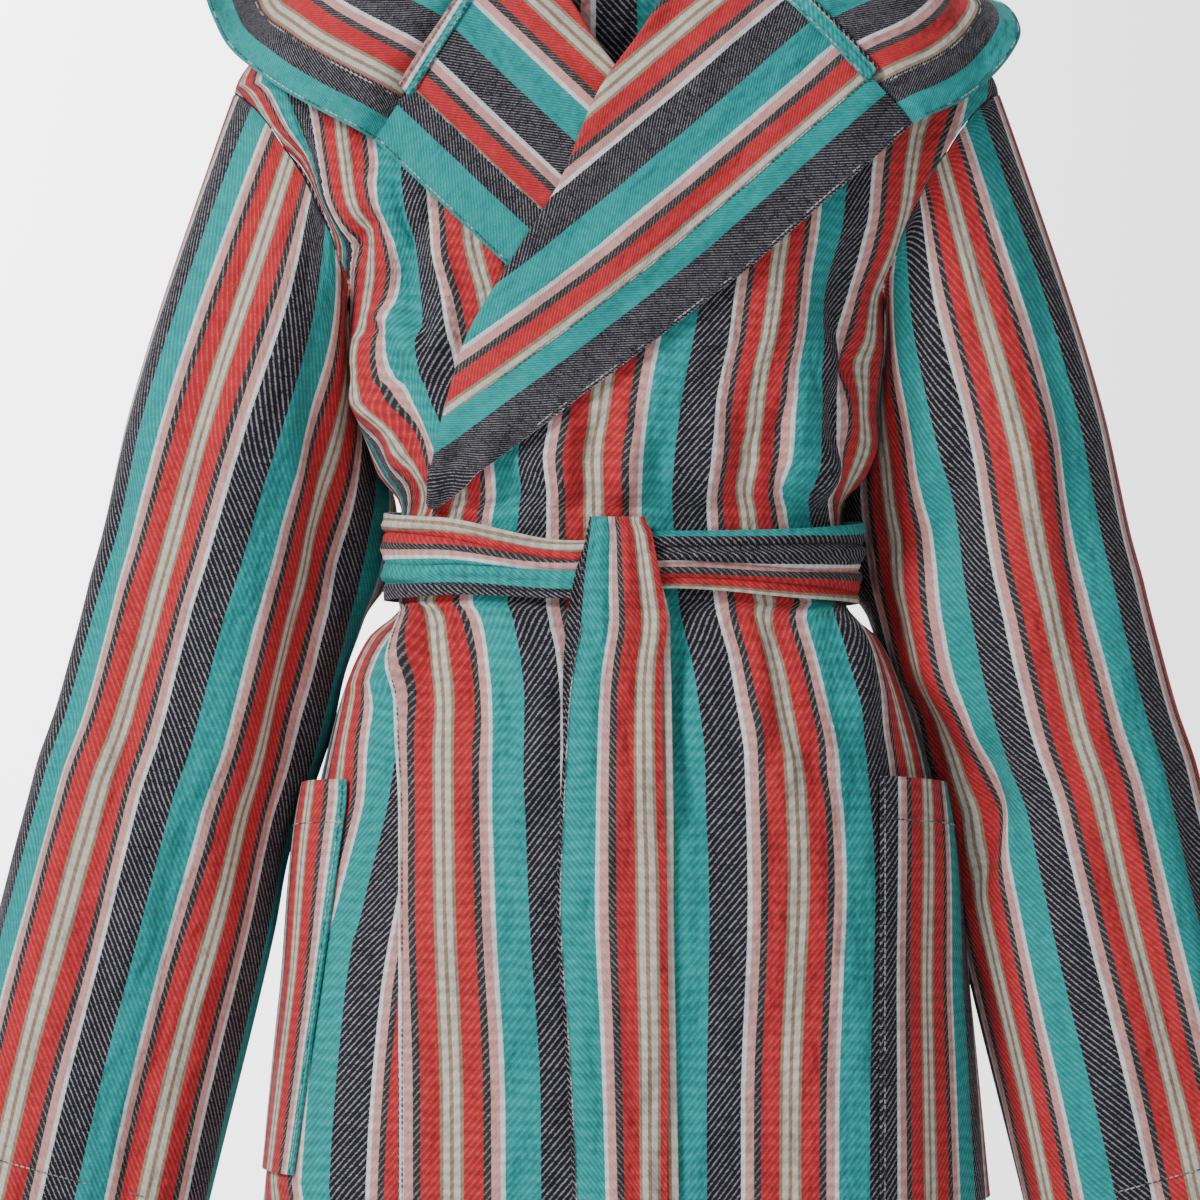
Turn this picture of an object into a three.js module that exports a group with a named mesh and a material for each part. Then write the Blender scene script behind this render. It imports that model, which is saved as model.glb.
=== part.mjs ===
import * as THREE from "three";

// A hooded bathrobe of striped cotton twill, worn closed with a tie belt, as a hollow garment.
// Millimetres. X points to the wearer's left, Y to the back, Z up. The origin is at the base of the neck.

// Cloth and seams
const WALL = 1.6;
const SEAM_GAP = 0.4;
const BELT_WALL = 2.8;
const FULLNESS = 0.24;

// Level of each layer's middle, measured outwards from the body form
const LEVEL_UNDER_FRONT = -WALL / 2;
const LEVEL_STEP = 3.8;
const LEVEL_UNDER_LAPEL = LEVEL_UNDER_FRONT + LEVEL_STEP;
const LEVEL_TOP_FRONT = LEVEL_UNDER_LAPEL + LEVEL_STEP;
const LEVEL_TOP_LAPEL = LEVEL_TOP_FRONT + LEVEL_STEP;

// Heights
const NECK_Z = -8;
const SHOULDER_Z = -107;
const ARMPIT_Z = -234;
const LAPEL_TIP_Z = -351;
const WAIST_Z = -390;
const HEM_Z = -1190;

// Half width, front depth and back depth of the body form at each height, and its middle in X
const BODY = [
  { z: -8, half: 80, front: 66, back: 62, middle: 0 },
  { z: -20, half: 118, front: 68, back: 66, middle: 0 },
  { z: -35, half: 155, front: 71, back: 70, middle: 0 },
  { z: -50, half: 182, front: 74, back: 74, middle: 0 },
  { z: -75, half: 211, front: 81, back: 82, middle: 0 },
  { z: -107, half: 232, front: 90, back: 90, middle: 0 },
  { z: -140, half: 233, front: 97, back: 95, middle: 0 },
  { z: -170, half: 223, front: 102, back: 98, middle: 0 },
  { z: -205, half: 195, front: 105, back: 101, middle: 0 },
  { z: -234, half: 163, front: 105, back: 101, middle: 0 },
  { z: -294, half: 153, front: 104, back: 99, middle: 1 },
  { z: -336, half: 147, front: 98, back: 94, middle: 2 },
  { z: -358, half: 134, front: 88, back: 85, middle: 3 },
  { z: -390, half: 132, front: 86, back: 83, middle: 3 },
  { z: -418, half: 134, front: 88, back: 85, middle: 3 },
  { z: -436, half: 154, front: 99, back: 98, middle: 4 },
  { z: -462, half: 167, front: 105, back: 108, middle: 4 },
  { z: -520, half: 184, front: 113, back: 121, middle: 5 },
  { z: -620, half: 203, front: 121, back: 129, middle: 5 },
  { z: -775, half: 219, front: 128, back: 134, middle: 5 },
  { z: -980, half: 240, front: 138, back: 142, middle: 5 },
  { z: -1190, half: 266, front: 152, back: 152, middle: 5 },
];

// Degrees that the armhole seam scoops in from the side, half way down it, at the front and the back
const ARMHOLE_SCOOP = 33;
const ARMHOLE_ROUNDNESS = 0.8;

// Angle of the side seam round the form in degrees from the front
const SIDE_SEAM = [
  { z: -234, angle: 90 },
  { z: -390, angle: 96 },
  { z: -520, angle: 112 },
  { z: -1190, angle: 112 },
];

// X of the overlapping front's roll line down to the lapel tip, and of its straight edge below
const FRONT_EDGE = [
  { z: -8, x: 77 },
  { z: -30, x: 50 },
  { z: -54, x: 29 },
  { z: -78, x: 14 },
  { z: -114, x: -11 },
  { z: -168, x: -34 },
  { z: -213, x: -62 },
  { z: -264, x: -89 },
  { z: -351, x: -109 },
  { z: -436, x: -126 },
  { z: -1190, x: -127 },
];

// How the lapping front comes down to the form: past the edge of the front under it, and at the neck
const LAP_MARGIN = 15;
const LAP_START = 4;
const LAP_RUN = 22;
const NECK_DROP_START = -75;
const NECK_DROP_RUN = 45;

// Soft folds of the body: angle and height at the top, how far they swing, and where they run
const BODY_FOLDS = [
  { angle: -46, swing: -20, top: -84, bottom: -236, width: 7, height: -7 },
  { angle: 46, swing: 20, top: -84, bottom: -236, width: 7, height: -7 },
  { angle: -66, swing: -6, top: -246, bottom: -322, width: 13, height: 6 },
  { angle: -50, swing: 8, top: -300, bottom: -372, width: 10, height: 6 },
  { angle: 50, swing: -8, top: -262, bottom: -370, width: 9, height: 6 },
  { angle: 74, swing: 4, top: -300, bottom: -368, width: 9, height: 5 },
  { angle: 126, swing: 6, top: -280, bottom: -370, width: 11, height: 7 },
  { angle: 160, swing: 4, top: -300, bottom: -372, width: 10, height: 6 },
  { angle: 204, swing: -6, top: -270, bottom: -370, width: 11, height: 7 },
  { angle: 238, swing: -2, top: -290, bottom: -370, width: 10, height: 6 },
  { angle: -58, swing: 2, top: -408, bottom: -540, width: 12, height: 8 },
  { angle: 30, swing: 2, top: -412, bottom: -640, width: 8, height: 4 },
  { angle: 62, swing: -2, top: -410, bottom: -500, width: 9, height: 5 },
  { angle: 138, swing: 4, top: -420, bottom: -1400, width: 9, height: 12 },
  { angle: 166, swing: 2, top: -412, bottom: -1400, width: 8, height: 9 },
  { angle: 197, swing: -3, top: -416, bottom: -1400, width: 9, height: 12 },
  { angle: 226, swing: -4, top: -420, bottom: -1400, width: 8, height: 10 },
  { angle: 96, swing: 2, top: -800, bottom: -1500, width: 9, height: 12 },
  { angle: 64, swing: 2, top: -820, bottom: -1500, width: 9, height: 9 },
  { angle: 24, swing: 2, top: -760, bottom: -1500, width: 9, height: 8 },
  { angle: -22, swing: -2, top: -780, bottom: -1500, width: 8, height: 7 },
  { angle: -62, swing: -3, top: -800, bottom: -1500, width: 9, height: 11 },
  { angle: -98, swing: -2, top: -800, bottom: -1500, width: 9, height: 12 },
];

const FOLD_END = 0.35;

// Height above and below the waist in which the folds die out under the belt
const BELT_CALM = 44;

// Sleeves: middle and half width in X, middle and half depth in Y, at each height of the middle,
// and how far the loose inner side reaches in behind the waist on the left and the right
const SLEEVE = [
  { z: -190, x: 210, half: 50, y: 0, depth: 57, reachLeft: 0, reachRight: 0 },
  { z: -234, x: 220, half: 53, y: 0, depth: 57, reachLeft: 0, reachRight: 0 },
  { z: -294, x: 229, half: 62, y: -1, depth: 57, reachLeft: 4, reachRight: 4 },
  { z: -330, x: 233, half: 66, y: -2, depth: 56, reachLeft: 8, reachRight: 8 },
  { z: -354, x: 236, half: 68, y: -2, depth: 55, reachLeft: 19, reachRight: 19 },
  { z: -392, x: 242, half: 70, y: -3, depth: 54, reachLeft: 24, reachRight: 24 },
  { z: -426, x: 249, half: 72, y: -4, depth: 53, reachLeft: 8, reachRight: 13 },
  { z: -462, x: 258, half: 72, y: -6, depth: 52, reachLeft: 0, reachRight: 4 },
  { z: -500, x: 269, half: 71.5, y: -8, depth: 51, reachLeft: 0, reachRight: 0 },
  { z: -536, x: 281, half: 71.5, y: -10, depth: 51, reachLeft: 0, reachRight: 0 },
  { z: -594, x: 292, half: 75, y: -13, depth: 51, reachLeft: 0, reachRight: 0 },
  { z: -700, x: 315, half: 78, y: -19, depth: 52, reachLeft: 0, reachRight: 0 },
  { z: -784, x: 331, half: 80, y: -23, depth: 53, reachLeft: 0, reachRight: 0 },
];
const REACH_BACKSET = 0.9;
const CUFF_SLOPE = 0.266;
const SLEEVE_HEAD = 0.24;
const SLEEVE_RINGS = 15;
const SLEEVE_RING_BIAS = 1.15;
const SLEEVE_SIDES = 16;

// Sleeve folds: angle round the sleeve from its outer line through the front, run as a share of length
const SLEEVE_FOLDS = {
  left: [
    { angle: 62, swing: 60, from: 0.1, to: 0.62, width: 20, height: 7 },
    { angle: 150, swing: -20, from: 0.42, to: 0.62, width: 22, height: -8 },
    { angle: 110, swing: 14, from: 0.6, to: 1.3, width: 22, height: 6 },
    { angle: 292, swing: -30, from: 0.2, to: 0.7, width: 20, height: 6 },
    { angle: 235, swing: 20, from: 0.4, to: 1.3, width: 22, height: 6 },
    { angle: 84, swing: 44, from: 0.02, to: 0.3, width: 17, height: 6 },
  ],
  right: [
    { angle: 100, swing: 24, from: 0.14, to: 0.8, width: 18, height: 6 },
    { angle: 50, swing: 10, from: 0.45, to: 1.3, width: 20, height: 5 },
    { angle: 250, swing: -30, from: 0.15, to: 0.75, width: 20, height: 7 },
    { angle: 300, swing: 10, from: 0.5, to: 1.3, width: 22, height: 5 },
    { angle: 88, swing: 40, from: 0.02, to: 0.3, width: 17, height: 6 },
  ],
};

const SLEEVE_FOLD_END = 0.3;

// Lapel's outer edge from the tip to the hood seam, and how far it bows down between them
const LAPEL_TIP = { x: -103, z: -353 };
const LAPEL_TOP_INNER = { x: 66, z: -17 };
const LAPEL_TOP_OUTER = { left: { x: 172, z: -132 }, right: { x: 142, z: -142 } };
const LAPEL_BOW = 8;
const LAPEL_SPRING = 2.5;
const LAPEL_REST = 0.4;
const LAPEL_REST_RUN = 0.2;
const LAPEL_SPRING_START = 0.5;
const LAPEL_ROW_BIAS = 1.3;
const ROLL_TURNS = [-90, -40, 10, 55];
const ROLL_RADIUS = LEVEL_STEP / 2;
const ROLL_INSET = ROLL_RADIUS + WALL / 2;
const ROLL_GAP = 2.6;
const ROLL_TRIM_DROP = 20;
const ROLL_TRIM_RUN = 12;
const LAPEL_ROWS = 16;
const LAPEL_COLUMNS = 8;

// Hood, lying open on the shoulders: neck seam angle, fall line and free edge at each share from the
// front seam to the centre back
const HOOD = {
  left: [
    { share: 0, neck: 52, fallX: 122, fallY: -72, fallZ: -66, edgeX: 172, edgeY: -82, edgeZ: -130 },
    { share: 0.12, neck: 64, fallX: 143, fallY: -56, fallZ: -32, edgeX: 213, edgeY: -66, edgeZ: -112 },
    { share: 0.28, neck: 82, fallX: 150, fallY: -12, fallZ: -20, edgeX: 243, edgeY: -28, edgeZ: -72 },
    { share: 0.45, neck: 104, fallX: 145, fallY: 42, fallZ: -24, edgeX: 234, edgeY: 28, edgeZ: -50 },
    { share: 0.64, neck: 130, fallX: 126, fallY: 112, fallZ: -168, edgeX: 186, edgeY: 98, edgeZ: -42 },
    { share: 0.82, neck: 155, fallX: 74, fallY: 138, fallZ: -262, edgeX: 112, edgeY: 140, edgeZ: -42 },
    { share: 1, neck: 180, fallX: 0, fallY: 142, fallZ: -290, edgeX: 0, edgeY: 154, edgeZ: -50 },
  ],
  right: [
    { share: 0, neck: 52, fallX: 106, fallY: -76, fallZ: -72, edgeX: 142, edgeY: -90, edgeZ: -142 },
    { share: 0.12, neck: 64, fallX: 143, fallY: -56, fallZ: -32, edgeX: 208, edgeY: -66, edgeZ: -104 },
    { share: 0.28, neck: 82, fallX: 150, fallY: -12, fallZ: -20, edgeX: 237, edgeY: -28, edgeZ: -76 },
    { share: 0.45, neck: 104, fallX: 145, fallY: 42, fallZ: -24, edgeX: 252, edgeY: 24, edgeZ: -40 },
    { share: 0.64, neck: 130, fallX: 126, fallY: 112, fallZ: -168, edgeX: 200, edgeY: 98, edgeZ: -34 },
    { share: 0.82, neck: 155, fallX: 74, fallY: 138, fallZ: -262, edgeX: 116, edgeY: 140, edgeZ: -42 },
    { share: 1, neck: 180, fallX: 0, fallY: 142, fallZ: -290, edgeX: 0, edgeY: 154, edgeZ: -50 },
  ],
};
const HOOD_NECK_LEVEL = 1.7;
const HOOD_CLEARANCE = 9;
const CLEARING_PASSES = 8;
const HOOD_OVER_FRONT_END = 0.3;
const HOOD_OVER_FRONT_RUN = 0.15;
const HOOD_SEAM_BLEND = 0.2;
const HOOD_CLEAR_ALONG = 0.04;
const HOOD_CLEAR_SHARE = 0.05;
const HOOD_ROW_BIAS = 1.5;
const HOOD_SEAM_SHARE = 0.012;
const HOOD_COLUMNS = 13;
const HOOD_ROWS = 12;

// Felled strip over each seam between lapel and hood
const STRIP_WIDTH = 11;
const STRIP_WALL = 1.2;
const STRIP_LIFT = 2.6;
const STRIP_START = 0.06;
const STRIP_END = 0.78;
const STRIP_OUT = new THREE.Vector3(0, -0.75, 0.66);
const STRIP_SLANT = { x: 0.62, z: 0.78 };

// Patch pockets: front edge X at the top and bottom, rear edge as an angle, height and open mouth
const POCKETS = {
  left: { frontTop: 152, frontBottom: 152, rear: 106, top: -520, bottom: -775, dip: 12, mouth: 9 },
  right: { frontTop: -158, frontBottom: -192, rear: -107, top: -522, bottom: -758, dip: 10, mouth: 9 },
};
const POCKET_LIFT = 1.3;
const POCKET_MOUTH_SKEW = 0.7;
const POCKET_MOUTH_DEPTH = 0.55;
const POCKET_COLUMNS = 8;
const POCKET_ROWS = 8;

// Belt: middle height and half height at each angle from the front
const BELT = [
  { angle: -180, z: -386, half: 30 },
  { angle: -90, z: -388, half: 27 },
  { angle: -50, z: -388, half: 23 },
  { angle: -12, z: -396, half: 17 },
  { angle: 12, z: -390, half: 17 },
  { angle: 50, z: -392, half: 21 },
  { angle: 90, z: -392, half: 25 },
  { angle: 180, z: -386, half: 30 },
];
const BELT_REST = 5.2;
const BELT_TUCK = 0.8;
const KNOT_LIFT = 4.6;
const KNOT_ANGLE = 17;
const BELT_LAP_START = 6;
const BELT_COLUMNS = 48;
const BELT_ROWS = 2;

// Tails of the belt: run of the middle of the strip from the knot down
const TAIL_FRONT = [
  { z: -386, level: 11.4, x: 0, width: 32 },
  { z: -373, level: 11.4, x: 0, width: 32 },
  { z: -364, level: 13.6, x: 0, width: 32 },
  { z: -360, level: 19.4, x: 0, width: 33 },
  { z: -364, level: 25, x: 0, width: 34 },
  { z: -373, level: 27.2, x: 1, width: 37 },
  { z: -400, level: 27.2, x: 2, width: 46 },
  { z: -426, level: 21.4, x: 3, width: 52 },
  { z: -450, level: 17, x: 0, width: 54 },
  { z: -474, level: 15.5, x: -2, width: 56 },
  { z: -540, level: 14.6, x: -3, width: 61 },
  { z: -594, level: 14.6, x: -3, width: 65 },
  { z: -680, level: 14.6, x: 0, width: 60 },
  { z: -768, level: 14.6, x: 2, width: 55 },
  { z: -880, level: 14.6, x: 4, width: 58 },
];
const TAIL_BACK = [
  { z: -374, level: 23.6, x: -2, width: 30 },
  { z: -400, level: 23.6, x: 0, width: 50 },
  { z: -426, level: 16.4, x: 1, width: 61 },
  { z: -450, level: 12.8, x: 0, width: 63 },
  { z: -474, level: 11.3, x: 0, width: 64 },
  { z: -540, level: 10.6, x: 1, width: 64 },
  { z: -594, level: 10.6, x: 1, width: 64 },
  { z: -680, level: 10.6, x: 3, width: 63 },
  { z: -768, level: 11, x: 5, width: 62 },
  { z: -905, level: 11, x: 8, width: 60 },
];
const TAIL_COLUMNS = 4;
const TAIL_CUP = 1.2;

const DEGREE = Math.PI / 180;

function clamp(value, low, high) {
  return Math.min(Math.max(value, low), high);
}

function ease(value) {
  const t = clamp(value, 0, 1);
  return t * t * (3 - 2 * t);
}

function mix(a, b, t) {
  return a + (b - a) * t;
}

// Smooth reading of one column of a table whose key column only rises or only falls
function read(table, key, name, at) {
  const last = table.length - 1;
  const rising = table[last][key] > table[0][key];
  let k = 0;
  while (k < last - 1 && (rising ? at > table[k + 1][key] : at < table[k + 1][key])) {
    k += 1;
  }
  const slope = (i) => (table[i + 1][name] - table[i][name]) / (table[i + 1][key] - table[i][key]);
  const tangent = (i) => {
    if (i === 0) {
      return slope(0);
    }
    if (i === last) {
      return slope(last - 1);
    }
    const product = slope(i - 1) * slope(i);
    return product > 0 ? (2 * product) / (slope(i - 1) + slope(i)) : 0;
  };
  const span = table[k + 1][key] - table[k][key];
  const t = clamp((at - table[k][key]) / span, 0, 1);
  const rest = 1 - t;
  return (
    table[k][name] * (1 + 2 * t) * rest * rest +
    table[k + 1][name] * (3 - 2 * t) * t * t +
    tangent(k) * span * t * rest * rest -
    tangent(k + 1) * span * t * t * rest
  );
}

// Body form: an oval at each height, fuller than an ellipse
function form(angle, z) {
  const sine = Math.sin(angle * DEGREE);
  const cosine = Math.cos(angle * DEGREE);
  const depth = read(BODY, "z", cosine > 0 ? "front" : "back", z);
  const x = read(BODY, "z", "middle", z) + read(BODY, "z", "half", z) * sine;
  return new THREE.Vector3(x, -depth * cosine * (1 + FULLNESS * sine * sine), z);
}

function formNormal(angle, z) {
  const low = Math.max(z - 2, HEM_Z);
  const high = Math.min(z + 2, NECK_Z);
  const around = form(angle + 0.5, z).sub(form(angle - 0.5, z));
  const up = form(angle, high).sub(form(angle, low));
  return around.cross(up).normalize();
}

function angleAt(x, z) {
  const sine = (x - read(BODY, "z", "middle", z)) / read(BODY, "z", "half", z);
  return Math.asin(clamp(sine, -1, 1)) / DEGREE;
}

// Sum of the soft folds at a place on the body, none of them under the belt
function bodyFold(angle, z) {
  let height = 0;
  for (const fold of BODY_FOLDS) {
    const along = (fold.top - z) / (fold.top - fold.bottom);
    const rise = ease(along / FOLD_END) * ease((1 - along) / FOLD_END);
    let away = angle - fold.angle - fold.swing * along;
    away -= 360 * Math.round(away / 360);
    height += fold.height * rise * Math.exp(-((away / fold.width) ** 2));
  }
  const nearBelt = Math.exp(-(((z - WAIST_Z) / BELT_CALM) ** 4));
  return height * (1 - nearBelt);
}

function bodyPoint(angle, z, level) {
  const lift = level + bodyFold(angle, z);
  return form(angle, z).addScaledVector(formNormal(angle, z), lift);
}

// The overlapping front and its lapel come down to the form at the neck, where nothing lies under them
function neckDrop(z) {
  return ease((z - NECK_DROP_START) / NECK_DROP_RUN);
}

// The overlapping front also comes down to the form past the edge of the front that lies under it
function topFrontLevel(angle, z) {
  const edgeX = read(FRONT_EDGE, "z", "x", z);
  const covered = Math.max(angleAt(-edgeX, z), angleAt(edgeX, z) + LAP_MARGIN);
  const free = ease((angle - covered - LAP_START) / LAP_RUN);
  return mix(LEVEL_TOP_FRONT, LEVEL_UNDER_FRONT, Math.max(free, neckDrop(z)));
}

function topLapelLevel(z) {
  return mix(LEVEL_TOP_LAPEL, LEVEL_UNDER_LAPEL, neckDrop(z));
}

function underLapelLevel() {
  return LEVEL_UNDER_LAPEL;
}

// Closed wall between an outer and an inner grid of points, joined round its free edges
function wall(outer, inner, closedAround = false) {
  const columns = outer.length;
  const rows = outer[0].length;
  const positions = [];
  for (const grid of [outer, inner]) {
    for (const column of grid) {
      for (const point of column) {
        positions.push(point.x, point.y, point.z);
      }
    }
  }
  const index = [];
  const corner = (side, i, j) => side * columns * rows + (i % columns) * rows + j;
  const quad = (a, b, c, d) => {
    index.push(a, b, c, a, c, d);
  };
  const steps = closedAround ? columns : columns - 1;
  for (let i = 0; i < steps; i += 1) {
    for (let j = 0; j < rows - 1; j += 1) {
      quad(corner(0, i, j), corner(0, i + 1, j), corner(0, i + 1, j + 1), corner(0, i, j + 1));
      quad(corner(1, i, j), corner(1, i, j + 1), corner(1, i + 1, j + 1), corner(1, i + 1, j));
    }
    quad(corner(0, i, 0), corner(1, i, 0), corner(1, i + 1, 0), corner(0, i + 1, 0));
    quad(corner(0, i, rows - 1), corner(0, i + 1, rows - 1), corner(1, i + 1, rows - 1), corner(1, i, rows - 1));
  }
  if (!closedAround) {
    for (let j = 0; j < rows - 1; j += 1) {
      const end = columns - 1;
      quad(corner(0, 0, j), corner(0, 0, j + 1), corner(1, 0, j + 1), corner(1, 0, j));
      quad(corner(0, end, j), corner(1, end, j), corner(1, end, j + 1), corner(0, end, j + 1));
    }
  }
  const geometry = new THREE.BufferGeometry();
  geometry.setAttribute("position", new THREE.Float32BufferAttribute(positions, 3));
  geometry.setIndex(signedVolume(positions, index) < 0 ? reversed(index) : index);
  geometry.computeVertexNormals();
  return geometry;
}

function reversed(index) {
  const turned = [];
  for (let k = 0; k < index.length; k += 3) {
    turned.push(index[k], index[k + 2], index[k + 1]);
  }
  return turned;
}

function signedVolume(positions, index) {
  const at = (k) => new THREE.Vector3().fromArray(positions, 3 * k);
  let volume = 0;
  for (let k = 0; k < index.length; k += 3) {
    volume += at(index[k]).dot(at(index[k + 1]).cross(at(index[k + 2])));
  }
  return volume;
}

function grid(columns, rows, point) {
  const result = [];
  for (let i = 0; i < columns; i += 1) {
    const column = [];
    for (let j = 0; j < rows; j += 1) {
      column.push(point(i, j));
    }
    result.push(column);
  }
  return result;
}

// Wall of even thickness either side of a middle surface that is not laid out on the body form
function wallAbout(middle, thickness, keepOff = (point) => point) {
  const columns = middle.length;
  const rows = middle[0].length;
  const normalAt = (i, j) => {
    const across = middle[Math.min(i + 1, columns - 1)][j].clone().sub(middle[Math.max(i - 1, 0)][j]);
    const along = middle[i][Math.min(j + 1, rows - 1)].clone().sub(middle[i][Math.max(j - 1, 0)]);
    return across.cross(along).normalize();
  };
  const moved = (distance) => (i, j) => {
    return keepOff(middle[i][j].clone().addScaledVector(normalAt(i, j), distance));
  };
  const outer = grid(columns, rows, moved(thickness / 2));
  const inner = grid(columns, rows, moved(-thickness / 2));
  return wall(outer, inner);
}

function mirrored(point, side) {
  point.x *= side;
  return point;
}

// Heights of the rows of a body panel: shoulder, armhole (even steps of turn round it) and below
const SHOULDER_ROWS = [-8, -20, -35, -52, -76];
const LOWER_ROWS = [
  -262, -290, -316, -333, -344, -354, -368, -390, -416, -438, -475, -520, -580, -645, -710, -775, -870,
  -970, -1080, -1190,
];
const ARMHOLE_STEPS = SLEEVE_SIDES / 2;

function armholeHeight(turn) {
  return mix(SHOULDER_Z, ARMPIT_Z, (1 - Math.cos(turn)) / 2);
}

function armholeAngle(turn) {
  return 90 - ARMHOLE_SCOOP * Math.abs(Math.sin(turn)) ** ARMHOLE_ROUNDNESS;
}

function panelHeights() {
  const heights = [...SHOULDER_ROWS];
  for (let k = 0; k <= ARMHOLE_STEPS; k += 1) {
    heights.push(armholeHeight((Math.PI * k) / ARMHOLE_STEPS));
  }
  return heights.concat(LOWER_ROWS);
}

// Angle of a panel's outer border: shoulder seam, armhole or side seam
function outerAngle(z, seamSide) {
  const seamTurn = (SEAM_GAP / 2 / read(BODY, "z", "front", z) / DEGREE) * seamSide;
  if (z > SHOULDER_Z - 0.01) {
    return 90 + seamTurn;
  }
  if (z > ARMPIT_Z + 0.01) {
    const turn = Math.acos(1 - (2 * (SHOULDER_Z - z)) / (SHOULDER_Z - ARMPIT_Z));
    return seamSide < 0 ? armholeAngle(turn) : 180 - armholeAngle(turn);
  }
  return read(SIDE_SEAM, "z", "angle", z) + seamTurn;
}

const FRONT_COLUMNS = 15;
const BACK_COLUMNS = 19;

// Front panel, seen on the wearer's left; the other one is its mirror image on a lower level
function frontPanel(side, level) {
  const heights = panelHeights();
  const place = (i, j) => {
    const z = heights[j];
    const lean = (read(FRONT_EDGE, "z", "x", z + 2) - read(FRONT_EDGE, "z", "x", z - 2)) / 4;
    const rolled = ease((z - LAPEL_TIP_Z + ROLL_TRIM_DROP) / ROLL_TRIM_RUN);
    const trim = (ROLL_INSET + ROLL_GAP) * Math.hypot(1, lean) * rolled;
    const start = angleAt(side * (read(FRONT_EDGE, "z", "x", z) + trim), z) * side;
    return mix(start, outerAngle(z, -1), i / (FRONT_COLUMNS - 1));
  };
  const layer = (offset) => (i, j) => {
    const angle = side * place(i, j);
    return bodyPoint(angle, heights[j], level(angle, heights[j]) + offset);
  };
  const outer = grid(FRONT_COLUMNS, heights.length, layer(WALL / 2));
  const inner = grid(FRONT_COLUMNS, heights.length, layer(-WALL / 2));
  return wall(outer, inner);
}

function backPanel() {
  const heights = panelHeights();
  const layer = (level) => (i, j) => {
    const border = outerAngle(heights[j], 1);
    return bodyPoint(mix(border, 360 - border, i / (BACK_COLUMNS - 1)), heights[j], level);
  };
  const outer = grid(BACK_COLUMNS, heights.length, layer(0));
  const inner = grid(BACK_COLUMNS, heights.length, layer(-WALL));
  return wall(outer, inner);
}

// Turned-back lapel: a roll of cloth at the front's edge, then a flap lying on the front
function lapelPlace(side, along) {
  const corner = side > 0 ? LAPEL_TOP_OUTER.left : LAPEL_TOP_OUTER.right;
  const rollZ = mix(LAPEL_TIP_Z + 2, LAPEL_TOP_INNER.z, along);
  const roll = new THREE.Vector2(read(FRONT_EDGE, "z", "x", rollZ), rollZ);
  const above = new THREE.Vector2(read(FRONT_EDGE, "z", "x", rollZ + 4), rollZ + 4);
  const away = new THREE.Vector2(-(above.y - roll.y), above.x - roll.x).normalize();
  const edge = new THREE.Vector2(
    mix(LAPEL_TIP.x, corner.x, along),
    mix(LAPEL_TIP.z, corner.z, along) - LAPEL_BOW * Math.sin(Math.PI * along),
  );
  roll.addScaledVector(away, -ROLL_INSET);
  return { roll, away, edge };
}

function lapelPoint(side, level, share, along) {
  const { roll, edge } = lapelPlace(side, along);
  const flat = roll.clone().lerp(edge, share);
  const upper = ease((along - LAPEL_SPRING_START) / (1 - LAPEL_SPRING_START));
  const spring = LAPEL_REST * ease(share / LAPEL_REST_RUN) + LAPEL_SPRING * share * share * upper;
  return bodyPoint(angleAt(side * flat.x, flat.y), flat.y, level(flat.y) + spring);
}

function lapel(side, level) {
  const middle = grid(ROLL_TURNS.length + LAPEL_COLUMNS, LAPEL_ROWS, (i, j) => {
    const along = (j / (LAPEL_ROWS - 1)) ** LAPEL_ROW_BIAS;
    if (i >= ROLL_TURNS.length) {
      return lapelPoint(side, level, (i - ROLL_TURNS.length) / (LAPEL_COLUMNS - 1), along);
    }
    const { roll, away } = lapelPlace(side, along);
    const turn = ROLL_TURNS[i] * DEGREE;
    const place = roll.clone().addScaledVector(away, ROLL_RADIUS * Math.cos(turn));
    const height = level(place.y) - ROLL_RADIUS + ROLL_RADIUS * Math.sin(turn);
    return bodyPoint(angleAt(side * place.x, place.y), place.y, height);
  });
  return wallAbout(middle, WALL);
}

// Sleeve: tilted ovals that start from the slanting armhole loop
function armholePoint(side, turn, inset) {
  const z = armholeHeight(turn);
  const angle = Math.sin(turn) < 0 ? 180 - armholeAngle(turn) : armholeAngle(turn);
  const point = form(angle, z).addScaledVector(formNormal(angle, z), bodyFold(side * angle, z));
  const top = form(90, SHOULDER_Z);
  const bottom = form(90, ARMPIT_Z);
  const outward = new THREE.Vector3(top.z - bottom.z, 0, bottom.x - top.x).normalize();
  const toMiddle = top.clone().add(bottom).multiplyScalar(0.5).sub(point).normalize();
  return point.addScaledVector(outward, SEAM_GAP).addScaledVector(toMiddle, inset);
}

function sleeveFold(folds, turn, along) {
  let height = 0;
  for (const fold of folds) {
    const run = (along - fold.from) / (fold.to - fold.from);
    const rise = ease(run / SLEEVE_FOLD_END) * ease((1 - run) / SLEEVE_FOLD_END);
    let away = turn / DEGREE - fold.angle - fold.swing * clamp(run, 0, 1);
    away -= 360 * Math.round(away / 360);
    height += fold.height * rise * Math.exp(-((away / fold.width) ** 2));
  }
  return height;
}

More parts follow.
